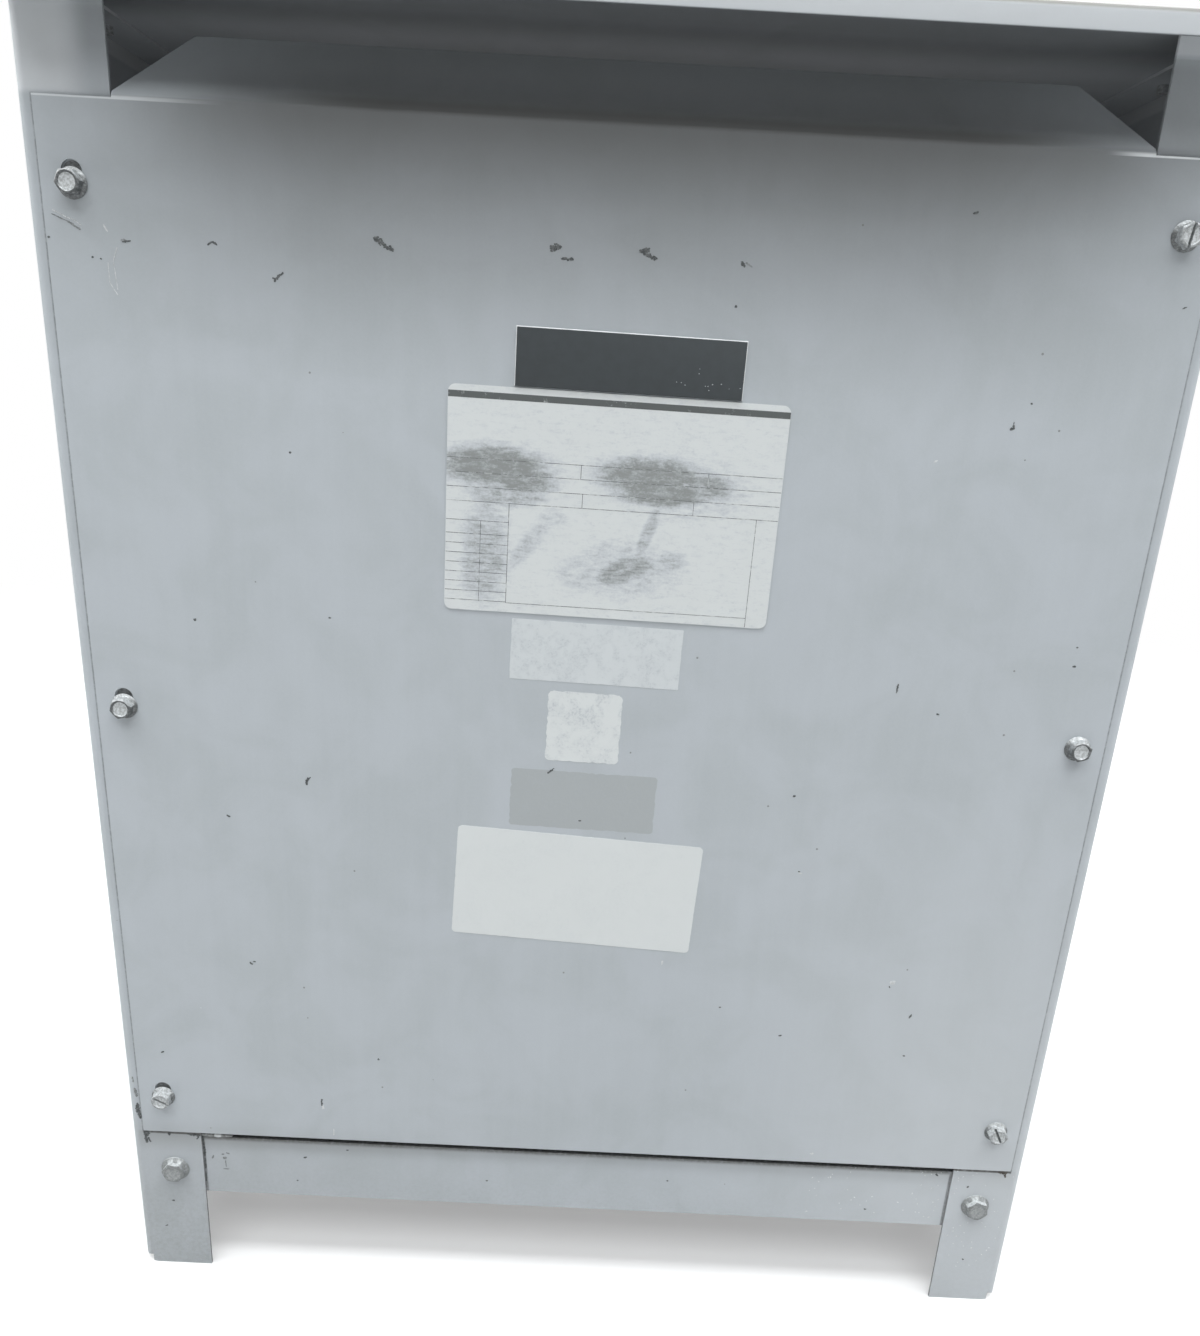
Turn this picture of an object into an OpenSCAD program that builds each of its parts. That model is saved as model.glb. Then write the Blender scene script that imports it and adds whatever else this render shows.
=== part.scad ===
// Floor-standing ventilated dry-type transformer: a sheet-metal enclosure on four feet,
// with the core and coils inside. The front faces -Y. The origin is on the floor, under
// the middle of the enclosure.

/* [Enclosure] */
// Width over the two side sheets
body_w = 586; // [570:2:640]
// Depth over the corner flanges of the side sheets
body_d = 454; // [430:2:540]
// Height from the floor to the top of the cover
body_h = 764; // [750:2:840]
// Thickness of the side sheets
side_t = 1.7; // [1.2:0.1:2.5]
// Outside radius of the upright bends in the side sheets
side_bend_r = 6; // [4:0.5:9]
// Width of each corner flange, from the outside of the side sheet
corner_flange_w = 45.5; // [40:0.5:56]
// Width of the inward flange at the top of each side sheet
top_flange_w = 22; // [15:1:30]

/* [Feet] */
// Height of the open gap between the floor and the base rails
foot_gap_h = 61.5; // [45:0.5:80]
// Length of each foot along the side
foot_d = 70; // [55:1:90]
// Radius of the rounded outer corners of the feet
foot_corner_r = 10; // [6:0.5:12]
// Radius of the cut-out corners between the feet
foot_gap_r = 10; // [5:1:16]
// Width of the fixing tab folded in under each foot
foot_tab_w = 23; // [20:1:30]
// Depth of the fixing tab
foot_tab_d = 26; // [22:1:32]
// Diameter of the floor bolt hole in each tab
foot_hole_d = 11; // [8:0.5:13]

/* [Panels] */
// Distance from the outside of the enclosure to the edge of a panel
panel_margin = 9; // [7:0.5:14]
// Height of the lower edge of the panels above the floor
panel_low_z = 112; // [110:1:125]
// Distance from the top of the cover down to the upper edge of the panels
panel_drop = 53; // [50:1:62]
// Thickness of the panel sheet
panel_t = 1.5; // [1.2:0.1:2.2]
// Inside radius of the panel's bends
panel_bend_r = 1.5; // [1:0.25:2.5]
// Depth of the stiffening fold along a panel's lower edge
panel_fold_d = 12; // [8:1:16]
// Length of the sloping lip along a panel's upper edge
lip_l = 38; // [30:1:42]
// Slope of the lip from the horizontal
lip_angle = 55; // [45:1:65]
// Length of the chamfer at each end of the lip, along the panel's width
lip_chamfer = 33; // [20:1:40]
// Gap between the lip and fold and the corner flanges beside them
lip_side_gap = 1; // [0.5:0.25:3]

/* [Panel screws] */
// Distance from a panel's side edge to its screws
screw_inset = 15.5; // [13:0.5:18]
// Height of the lowest screws above the panel's lower edge
screw_low_z = 30; // [24:1:40]
// Depth of the highest screws below the panel's upper edge
screw_high_drop = 36; // [28:1:44]
// Diameter of the screw holes
screw_hole_d = 7; // [6:0.25:8]
// Width of the slots that the screws along one side of each panel pass through
screw_slot_w = 10; // [8:0.5:12]
// Length of those slots
screw_slot_l = 15.5; // [13:0.5:20]
// How far the slotted side's screws sit below the other side's
screw_stagger = 3.5; // [0:0.5:6]
// Height of the foot screws above the floor
foot_screw_z = 81; // [74:0.5:92]
// Distance from the outside of the enclosure to the foot screws
foot_screw_inset = 27; // [24:0.5:32]

/* [Cover] */
// Thickness of the cover
cover_t = 1.5; // [1.2:0.1:2.2]
// Height of the cover's down-turned rim
cover_rim_h = 11; // [9:0.5:14]
// How far the cover overhangs the panels at the front and the back
cover_overhang = 25; // [15:1:35]
// Gap between the cover's rim and the side sheets
cover_side_gap = 0.5; // [0.3:0.1:1.5]
// Radius of the cover's upright corners
cover_corner_r = 4; // [2:0.5:8]

/* [Base] */
// Height of the base rails
rail_h = 45; // [42:1:48]
// Depth of the base rails
rail_d = 32; // [24:1:40]
// Thickness of the base rails
rail_t = 2; // [1.5:0.1:3]
// Gap between each end of a rail and the side sheet
rail_end_gap = 0.5; // [0.3:0.1:1.5]
// Distance between the two supports under the core
support_pitch = 300; // [270:5:330]
// Width of each support
support_w = 60; // [50:1:70]
// Height of each support
support_h = 40; // [32:1:44]
// Thickness of each support
support_t = 3; // [2:0.25:4]
// Length of each support's seat on the base rails
support_seat = 14; // [12:1:16]
// Height of the rubber isolator pads
pad_h = 12; // [8:1:16]
// Width of each isolator pad
pad_w = 50; // [36:1:50]
// Depth of each isolator pad
pad_d = 34; // [26:1:36]

/* [Core] */
// Width of each core leg
leg_w = 75; // [65:1:80]
// Depth of the stack of core sheets
stack_d = 95; // [85:1:105]
// Height of the yokes
yoke_h = 75; // [68:1:80]
// Depth of the clamp channels
clamp_d = 38; // [36:1:44]
// Thickness of the clamp channels
clamp_t = 4; // [3:0.25:5]
// How far the clamps run past the core at each end
clamp_overrun = 8; // [4:1:14]
// How far the clamps reach below and above the yokes
clamp_rise = 3; // [1:0.5:6]
// Clear height between the terminal board and the cover
headroom = 50; // [35:1:80]

/* [Coils] */
// Width of each coil
coil_w = 158; // [148:1:164]
// Depth of each coil
coil_d = 225; // [210:1:240]
// Gap between neighbouring coils
coil_gap = 7; // [4:1:10]
// Gap between a coil's inside and its core leg
coil_leg_gap = 6; // [4:0.5:8]
// Radius of a coil's outer corners
coil_corner_r = 34; // [24:1:40]
// Radius of a coil's inner corners
coil_bore_r = 8; // [4:1:12]
// Height of the insulating blocks above and below the coils
block_h = 12; // [8:1:16]
// Width of each insulating block
block_w = 40; // [30:1:60]
// Depth of each insulating block
block_d = 28; // [22:1:32]

/* [Terminals] */
// Width of the terminal board
board_w = 440; // [430:5:470]
// Height of the terminal board
board_h = 128; // [120:1:140]
// Thickness of the terminal board
board_t = 9; // [6:0.5:12]
// Width of the load bars
bar_w = 25; // [20:1:32]
// Thickness of the load bars
bar_t = 4; // [3:0.25:6]
// Distance of the two middle load bars from the middle
bar_spread = 26; // [24:1:40]
// Height of the load bars up the terminal board
bar_rise = 55; // [45:1:60]
// Width of the line bars
line_bar_w = 15; // [12:1:18]
// Thickness of the line bars
line_bar_t = 3; // [2:0.25:4]
// Distance of the outer line bars beyond the middle of their coils
line_bar_step = 35; // [30:1:40]
// Gap between the upper edge of the board and the line bars
line_bar_drop = 14; // [8:1:20]
// Diameter of the bolt holes in the bars
terminal_hole_d = 9; // [7:0.5:10]

/* [Plates] */
// Width of the black tag
tag_w = 116; // [100:1:130]
// Height of the black tag
tag_h = 29; // [24:1:34]
// Thickness of the black tag
tag_t = 1.6; // [1.2:0.1:3]
// Sideways place of the tag's middle
tag_x = 4; // [-20:1:20]
// Width of the nameplate
plate_w = 175; // [160:1:190]
// Height of the nameplate
plate_h = 117.5; // [105:0.5:130]
// Thickness of the nameplate
plate_t = 0.6; // [0.5:0.1:1.2]
// Sideways place of the nameplate's middle
plate_x = -1; // [-20:1:20]
// Height of the nameplate's middle above the panel's lower edge
plate_z = 418.5; // [380:0.5:440]
// Corner radius of the nameplate
plate_corner_r = 4; // [2:0.5:8]
// Gap between the nameplate and the tag above it
tag_gap = 0.4; // [0.2:0.1:5]
// Tilt of both plates, clockwise
plate_tilt = 0.8; // [0:0.1:3]

/* [Hidden] */
$fn = 48;
eps = 1;

paint = [0.70, 0.72, 0.74];
core_grey = [0.30, 0.31, 0.33];
varnish = [0.45, 0.33, 0.18];
clamp_grey = [0.38, 0.40, 0.41];
board_red = [0.55, 0.22, 0.16];
bar_metal = [0.80, 0.80, 0.80];
rubber_black = [0.08, 0.08, 0.08];

// Enclosure
flange_face_y = body_d / 2;
side_top_z = body_h - cover_t;
web_in_x = body_w / 2 - side_t;
panel_w = body_w - 2 * panel_margin;
panel_top_z = body_h - panel_drop;
panel_face_y = flange_face_y + panel_t;
mid_w = body_w - 2 * corner_flange_w - 2 * lip_side_gap;
bend_turn = 90 - lip_angle;
bend_out_r = panel_bend_r + panel_t;
lip_top_z = panel_top_z + bend_out_r * sin(bend_turn) + lip_l * cos(bend_turn);
screw_x = panel_w / 2 - screw_inset;
foot_screw_x = body_w / 2 - foot_screw_inset;
screw_low = panel_low_z + screw_low_z;
screw_high = panel_top_z - screw_high_drop;
screw_zs = [screw_low, (screw_low + screw_high) / 2, screw_high];
round_zs = [for (z = screw_zs) z + screw_stagger / 2];
slot_zs = [for (z = screw_zs) z - screw_stagger / 2];
slot_rise = screw_slot_l - screw_slot_w;
tab_x = body_w / 2 - foot_corner_r - foot_tab_w / 2;
tab_y = flange_face_y - foot_tab_d / 2;
cover_w = body_w + 2 * (cover_side_gap + cover_t);
cover_l = 2 * (panel_face_y + cover_overhang);

// Base and core, stacked up from the rails
rail_face_y = flange_face_y - side_t;
rail_l = 2 * (web_in_x - rail_end_gap);
rail_top_z = foot_gap_h + rail_h;
support_in_x = support_pitch / 2 - support_w / 2;
support_l = 2 * (rail_face_y - rail_d + support_seat);
support_top_z = rail_top_z + support_h;
clamp_h = yoke_h + 2 * clamp_rise;
lower_clamp_z = support_top_z + pad_h;
lower_yoke_z = lower_clamp_z + clamp_rise;
lower_blocks_z = lower_clamp_z + clamp_h;
coil_z = lower_blocks_z + block_h;
coil_h = side_top_z - headroom - board_h - block_h - coil_z;
upper_blocks_z = coil_z + coil_h;
upper_clamp_z = upper_blocks_z + block_h;
upper_yoke_z = upper_clamp_z + clamp_rise;
core_leg_z = lower_yoke_z + yoke_h;
core_leg_h = upper_yoke_z - core_leg_z;
coil_pitch = coil_w + coil_gap;
core_w = 2 * coil_pitch + leg_w;
clamp_l = core_w + 2 * clamp_overrun;
clamp_y = stack_d / 2 + clamp_d;
block_y = clamp_y - block_d / 2;

// Terminals, on the front of the board
board_face_y = clamp_y + board_t;
board_top_z = upper_clamp_z + board_h;
bar_l = upper_clamp_z + bar_rise - upper_blocks_z;
bar_xs = [-coil_pitch, -bar_spread, bar_spread, coil_pitch];
line_bar_l = board_top_z - line_bar_drop - upper_blocks_z;
line_bar_xs = [-coil_pitch - line_bar_step, 0, coil_pitch + line_bar_step];

// ---- Shapes used more than once ----

// Flat rectangle with rounded corners, centred
module rounded_rect(w, h, r) {
    square([w - 2 * r, h], center = true);
    square([w, h - 2 * r], center = true);
    for (sx = [-1, 1], sy = [-1, 1])
        translate([sx * (w / 2 - r), sy * (h / 2 - r)]) circle(r);
}

// What is left of a square corner at the origin outside its rounding
module corner_waste(r) {
    difference() {
        translate([-eps, -eps]) square(r + eps);
        translate([r, r]) circle(r);
    }
}

// Sheet bent round a quarter turn, centred on the bend
module quarter_bend(r, t) {
    intersection() {
        difference() {
            circle(r);
            circle(r - t);
        }
        square(r);
    }
}

// Channel along X, its web standing on the X axis and its flanges towards +Y
module channel(l, h, d, t) {
    translate([-l / 2, 0, 0]) cube([l, t, h]);
    for (z = [0, h - t])
        translate([-l / 2, 0, z]) cube([l, d, t]);
}

// Round hole along Y, right through whatever it is taken from
module hole_y(x, z, d) {
    translate([x, 0, z]) rotate([90, 0, 0]) cylinder(d = d, h = 2 * body_d, center = true);
}

// Stands a drawing of the section across the part (depth, height) up along X
module along_x(l) {
    rotate([90, 0, 90]) linear_extrude(l) children();
}

// Stands a drawing of the front view up, running back from its place by l
module along_y(l) {
    rotate([90, 0, 0]) linear_extrude(l, center = true) children();
}

// ---- Enclosure ----

// Plan of a side sheet: the web and its two corner flanges, with rounded bends
module side_plan() {
    bend_x = body_w / 2 - side_bend_r;
    bend_y = flange_face_y - side_bend_r;
    flange_l = corner_flange_w - side_bend_r;
    translate([web_in_x, -bend_y]) square([side_t, 2 * bend_y]);
    for (s = [0, 1]) mirror([0, s]) {
        translate([bend_x - flange_l, rail_face_y]) square([flange_l, side_t]);
        translate([bend_x, bend_y]) quarter_bend(side_bend_r, side_t);
    }
}

// Side view of the opening between the feet of a side sheet
module foot_gap() {
    gap_l = body_d - 2 * foot_d;
    translate([-gap_l / 2, -eps]) square([gap_l, foot_gap_h - foot_gap_r + eps]);
    translate([foot_gap_r - gap_l / 2, -eps]) square([gap_l - 2 * foot_gap_r, foot_gap_h + eps]);
    for (s = [-1, 1])
        translate([s * (gap_l / 2 - foot_gap_r), foot_gap_h - foot_gap_r]) circle(foot_gap_r);
}

// Material taken away between the feet and at their rounded outer corners
module foot_cuts() {
    translate([web_in_x - eps, 0, 0]) along_x(side_t + 2 * eps) foot_gap();
    for (s = [0, 1]) mirror([0, s, 0]) {
        translate([body_w / 2, flange_face_y, 0]) along_y(2 * side_bend_r)
            mirror([1, 0]) corner_waste(foot_corner_r);
        translate([body_w / 2 - side_bend_r, flange_face_y, 0]) along_x(side_bend_r + eps)
            mirror([1, 0]) corner_waste(foot_corner_r);
    }
}

// Tab folded in under a foot, with its floor bolt hole
module foot_tab() {
    translate([tab_x, tab_y, side_t / 2]) difference() {
        cube([foot_tab_w, foot_tab_d, side_t], center = true);
        cylinder(d = foot_hole_d, h = side_t + 2 * eps, center = true);
    }
}

// Round hole through one corner flange only: the front one, or the back one with side = 1
module flange_hole(side, x, z) {
    translate([x, side * flange_face_y, z]) rotate([90, 0, 0])
        cylinder(d = screw_hole_d, h = 2 * corner_flange_w, center = true);
}

// Side sheet on the right, with its feet, fixing tabs and top flange
module side_sheet() {
    difference() {
        union() {
            linear_extrude(side_top_z) side_plan();
            translate([web_in_x - top_flange_w, side_bend_r - flange_face_y, side_top_z - side_t])
                cube([top_flange_w + side_t, body_d - 2 * side_bend_r, side_t]);
        }
        foot_cuts();
        hole_y(foot_screw_x, foot_screw_z, screw_hole_d);
        for (z = round_zs) flange_hole(-1, screw_x, z);
        for (z = slot_zs) flange_hole(1, screw_x, z);
    }
    for (s = [0, 1]) mirror([0, s, 0]) foot_tab();
}

module left_side_sheet() {
    color(paint) rotate([0, 0, 180]) side_sheet();
}

module right_side_sheet() {
    color(paint) side_sheet();
}

// Section of a panel's middle: lower fold, sheet, upper bend and sloping lip
module panel_section() {
    reach = 2 * bend_out_r;
    translate([0, panel_low_z]) square([panel_t, panel_top_z - panel_low_z]);
    translate([0, panel_low_z]) square([panel_fold_d, panel_t]);
    translate([bend_out_r, panel_top_z]) {
        intersection() {
            difference() {
                circle(bend_out_r);
                circle(panel_bend_r);
            }
            polygon([[0, 0], [-reach, 0], [-reach * cos(bend_turn), reach * sin(bend_turn)]]);
        }
        rotate(-bend_turn) translate([-bend_out_r, 0]) square([panel_t, lip_l]);
    }
}

// Front view of a panel's middle, with the chamfered ends of its lip
module middle_outline() {
    half_w = mid_w / 2;
    shoulder_z = panel_top_z + bend_out_r;
    polygon([
        [-half_w, 0], [half_w, 0], [half_w, shoulder_z], [half_w - lip_chamfer, lip_top_z],
        [lip_chamfer - half_w, lip_top_z], [-half_w, shoulder_z]
    ]);
}

// Front panel, lying over the corner flanges, with slots for the screws on its left
module panel() {
    difference() {
        union() {
            translate([-panel_w / 2, -panel_face_y, panel_low_z])
                cube([panel_w, panel_t, panel_top_z - panel_low_z]);
            intersection() {
                translate([-mid_w / 2, -panel_face_y, 0]) along_x(mid_w) panel_section();
                along_y(2 * body_d) middle_outline();
            }
        }
        for (z = round_zs) hole_y(screw_x, z, screw_hole_d);
        for (z = slot_zs) {
            hole_y(-screw_x, z, screw_slot_w);
            hole_y(-screw_x, z + slot_rise, screw_slot_w);
            translate([-screw_x, 0, z + slot_rise / 2])
                cube([screw_slot_w, 2 * body_d, slot_rise], center = true);
        }
    }
}

module front_panel() {
    color(paint) panel();
}

module back_panel() {
    color(paint) rotate([0, 0, 180]) panel();
}

// Shallow pan that lies on the side sheets and overhangs both panels
module top_cover() {
    color(paint) difference() {
        translate([0, 0, body_h - cover_rim_h]) linear_extrude(cover_rim_h)
            rounded_rect(cover_w, cover_l, cover_corner_r);
        translate([0, 0, body_h - cover_rim_h - eps]) linear_extrude(cover_rim_h + eps - cover_t)
            rounded_rect(cover_w - 2 * cover_t, cover_l - 2 * cover_t, cover_corner_r - cover_t);
    }
}

// ---- Base ----

// Rail behind the front feet, held to them by the foot screws
module base_rail() {
    difference() {
        translate([0, -rail_face_y, foot_gap_h]) channel(rail_l, rail_h, rail_d, rail_t);
        for (s = [-1, 1]) hole_y(s * foot_screw_x, foot_screw_z, screw_hole_d);
    }
}

module front_base_rail() {
    color(paint) base_rail();
}

module back_base_rail() {
    color(paint) mirror([0, 1, 0]) base_rail();
}

// Channel from rail to rail, on the right, with its open side outwards
module core_support() {
    translate([support_in_x, 0, rail_top_z]) rotate([0, 0, -90])
        channel(support_l, support_h, support_w, support_t);
}

module left_core_support() {
    color(clamp_grey) mirror([1, 0, 0]) core_support();
}

module right_core_support() {
    color(clamp_grey) core_support();
}

// Rubber pads between the supports and the lower clamps
module isolator_pads() {
    color(rubber_black)
        for (sx = [-1, 1], sy = [-1, 1])
            translate([sx * support_pitch / 2, sy * (clamp_y - clamp_d / 2), support_top_z + pad_h / 2])
                cube([pad_w, pad_d, pad_h], center = true);
}

// ---- Core ----

module yoke(z) {
    color(core_grey) translate([-core_w / 2, -stack_d / 2, z]) cube([core_w, stack_d, yoke_h]);
}

module core_lower_yoke() {
    yoke(lower_yoke_z);
}

module core_upper_yoke() {
    yoke(upper_yoke_z);
}

module core_leg(x) {
    color(core_grey) translate([x - leg_w / 2, -stack_d / 2, core_leg_z])
        cube([leg_w, stack_d, core_leg_h]);
}

module core_left_leg() {
    core_leg(-coil_pitch);
}

module core_middle_leg() {
    core_leg(0);
}

module core_right_leg() {
    core_leg(coil_pitch);
}

// Channel pressed on a yoke's back face, with its flanges outwards
module clamp(z) {
    color(clamp_grey) translate([0, stack_d / 2, z]) channel(clamp_l, clamp_h, clamp_d, clamp_t);
}

module lower_front_clamp() {
    mirror([0, 1, 0]) clamp(lower_clamp_z);
}

module lower_back_clamp() {
    clamp(lower_clamp_z);
}

module upper_front_clamp() {
    mirror([0, 1, 0]) clamp(upper_clamp_z);
}

module upper_back_clamp() {
    clamp(upper_clamp_z);
}

// ---- Coils ----

module coil(x) {
    color(varnish) translate([x, 0, coil_z]) linear_extrude(coil_h) difference() {
        rounded_rect(coil_w, coil_d, coil_corner_r);
        rounded_rect(leg_w + 2 * coil_leg_gap, stack_d + 2 * coil_leg_gap, coil_bore_r);
    }
}

module left_coil() {
    coil(-coil_pitch);
}

module middle_coil() {
    coil(0);
}

module right_coil() {
    coil(coil_pitch);
}

// Insulating blocks between the coils and the clamps, front and back of each coil
module coil_blocks(z) {
    color(varnish)
        for (i = [-1:1], s = [-1, 1])
            translate([i * coil_pitch, s * block_y, z + block_h / 2])
                cube([block_w, block_d, block_h], center = true);
}

module lower_coil_blocks() {
    coil_blocks(lower_blocks_z);
}

module upper_coil_blocks() {
    coil_blocks(upper_blocks_z);
}

// ---- Terminals ----

module terminal_board() {
    color(board_red) translate([-board_w / 2, -board_face_y, upper_clamp_z])
        cube([board_w, board_t, board_h]);
}

// Flat bars that stand on the coils and lie against the board, each with a bolt hole near its top
module flat_bars(xs, w, t, l) {
    color(bar_metal) difference() {
        for (x = xs)
            translate([x - w / 2, -board_face_y - t, upper_blocks_z]) cube([w, t, l]);
        for (x = xs) hole_y(x, upper_blocks_z + l - w / 2, terminal_hole_d);
    }
}

module load_bars() {
    flat_bars(bar_xs, bar_w, bar_t, bar_l);
}

module line_bars() {
    flat_bars(line_bar_xs, line_bar_w, line_bar_t, line_bar_l);
}

// ---- Plates on the front panel ----

// Carries what is drawn in the nameplate's front view to its place on the panel
module on_panel(t) {
    translate([plate_x, -panel_face_y, panel_low_z + plate_z]) rotate([0, plate_tilt, 0])
        translate([0, -t / 2, 0]) along_y(t) children();
}

module nameplate() {
    color(bar_metal) on_panel(plate_t) rounded_rect(plate_w, plate_h, plate_corner_r);
}

module engraved_tag() {
    color(rubber_black) on_panel(tag_t)
        translate([tag_x - plate_x, plate_h / 2 + tag_gap + tag_h / 2])
            square([tag_w, tag_h], center = true);
}

left_side_sheet();
right_side_sheet();
front_panel();
back_panel();
top_cover();
front_base_rail();
back_base_rail();
left_core_support();
right_core_support();
isolator_pads();
core_lower_yoke();
core_upper_yoke();
core_left_leg();
core_middle_leg();
core_right_leg();
lower_front_clamp();
lower_back_clamp();
upper_front_clamp();
upper_back_clamp();
left_coil();
middle_coil();
right_coil();
lower_coil_blocks();
upper_coil_blocks();
terminal_board();
load_bars();
line_bars();
engraved_tag();
nameplate();
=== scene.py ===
"""The finished look of a dry-type transformer in its ventilated enclosure.

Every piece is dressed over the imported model. Sizes are in millimetres times MM, and places come from the
frame's boxes. X runs to the right of the front panel, Y into the enclosure and Z up from the floor.
"""

import logging
import math
import random
from collections.abc import Sequence
from dataclasses import dataclass, field
from enum import Enum
from functools import reduce
from typing import Any

import bmesh
import bpy
from mathutils import Matrix, Vector


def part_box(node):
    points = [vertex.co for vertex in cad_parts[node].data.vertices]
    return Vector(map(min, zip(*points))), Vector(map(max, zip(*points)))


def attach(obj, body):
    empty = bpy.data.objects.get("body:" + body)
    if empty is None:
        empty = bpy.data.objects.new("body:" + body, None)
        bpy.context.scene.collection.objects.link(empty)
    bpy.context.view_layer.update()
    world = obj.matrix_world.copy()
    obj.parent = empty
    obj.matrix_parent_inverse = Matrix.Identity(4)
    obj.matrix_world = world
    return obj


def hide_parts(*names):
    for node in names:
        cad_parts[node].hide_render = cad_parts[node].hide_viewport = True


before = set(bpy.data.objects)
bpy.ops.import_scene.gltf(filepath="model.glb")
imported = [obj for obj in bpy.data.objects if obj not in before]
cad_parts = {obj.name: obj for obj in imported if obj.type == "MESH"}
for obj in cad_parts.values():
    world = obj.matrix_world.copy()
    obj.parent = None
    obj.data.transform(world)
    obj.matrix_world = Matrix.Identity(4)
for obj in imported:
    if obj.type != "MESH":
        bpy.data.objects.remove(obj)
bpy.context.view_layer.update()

log = logging.getLogger("transformer")

MM = 0.001
BODY = "root"
WEAR = "edge_wear"
# Mesh attribute: the share of dirt and painted shade on each face of a screw head
DIRT_AND_SHADE = "grime"
# Turns a flat drawing (X right, Y up, Z out of the paper) to stand on the front or the back of the enclosure
FACING_FRONT = Matrix(((1, 0, 0, 0), (0, 0, -1, 0), (0, 1, 0, 0), (0, 0, 0, 1)))
FACING_BACK = Matrix(((-1, 0, 0, 0), (0, 0, 1, 0), (0, 1, 0, 0), (0, 0, 0, 1)))
RIGHT, OUT, UP = Vector((1, 0, 0)), Vector((0, -1, 0)), Vector((0, 0, 1))

Triple = tuple[float, float, float]
Colour = Triple
Point = tuple[float, float]
Socket = bpy.types.NodeSocket
Value = float | Colour | Socket


class Slot(Enum):
    """The material slots that finishes come from, which the log names for each piece."""

    PAINT = "enclosure_paint"
    CORE = "core_steel"
    COIL = "coil_varnish"
    CLAMP = "clamp_paint"
    BOARD = "board_laminate"
    BAR = "bar_metal"
    RUBBER = "pad_rubber"
    TAG = "tag_plastic"
    PLATE = "plate_metal"
    STICKER = "sticker_film"
    FASTENER = "fastener_zinc"


class Head(Enum):
    """The two kinds of hexagon head, in the order that the screw tree picks them."""

    PLAIN = 0
    SLOTTED = 1


def shade(*channels: float) -> Colour:
    """Return a colour of 0 to 255 a channel as linear light."""
    return tuple(part / 12.92 if part <= 0.04045 else ((part + 0.055) / 1.055) ** 2.4
                 for part in (channel / 255 for channel in channels))


def toned(colour: Colour, factor: float) -> Colour:
    """Return a colour made darker or lighter by a factor."""
    return tuple(factor * channel for channel in colour)


# ---- Node trees and finishes ----


class Graph:
    """A node tree, with a short way to add nodes to it."""

    def __init__(self, tree: bpy.types.NodeTree) -> None:
        """Take up a tree."""
        self.tree = tree

    def feed(self, socket: Socket, value: Any) -> None:
        """Link an output to an input, or set the input's own value.

        Args:
            socket: The input socket.
            value: An output socket, or what the input's own value becomes.
        """
        if isinstance(value, bpy.types.NodeSocket):
            self.tree.links.new(value, socket)
        elif isinstance(value, tuple) and socket.type == "RGBA":
            socket.default_value = (*value, 1.0)
        else:
            socket.default_value = value

    def node(self, kind: str, settings: dict[str, Any] | None = None, *values: Any,
             **feeds: Any) -> bpy.types.Node:
        """Add a node and feed its inputs.

        Args:
            kind: The node's type name.
            settings: Properties to set first.
            *values: What its first inputs get, in order, counting only those in use.
            **feeds: Other inputs' names with underscores for spaces, and what they get.

        Returns:
            The new node.
        """
        made = self.tree.nodes.new(kind)
        for key, value in (settings or {}).items():
            setattr(made, key, value)
        used = [socket for socket in made.inputs if socket.enabled]
        for socket, value in zip(used, values):
            self.feed(socket, value)
        for key, value in feeds.items():
            self.feed(next(socket for socket in used if socket.name == key.replace("_", " ")), value)
        return made

    def vector(self, operation: str, *values: Any) -> Socket:
        """Return a vector's sum, product, scaling or length."""
        made = self.node("ShaderNodeVectorMath", {"operation": operation}, *values)
        return made.outputs["Value" if operation == "LENGTH" else "Vector"]

    def span(self, value: Value, low: float, high: float, to_low: float = 0.0,
             to_high: float = 1.0) -> Socket:
        """Ease a value from one range to another, held at both ends."""
        eased = {"interpolation_type": "SMOOTHSTEP"}
        return self.node("ShaderNodeMapRange", eased, value, low, high, to_low, to_high).outputs[0]

    def calc(self, operation: str, first: Value, second: Value = 0.0) -> Socket:
        """Return a sum, product or other result of two numbers."""
        return self.node("ShaderNodeMath", {"operation": operation}, first, second).outputs[0]

    def joined(self, operation: str, values: Sequence[Value]) -> Value:
        """Return the sum, product or largest of several numbers."""
        return reduce(lambda first, second: self.calc(operation, first, second), values)

    def times(self, *values: Value) -> Value:
        """Return the product of several numbers."""
        return self.joined("MULTIPLY", values)


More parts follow.
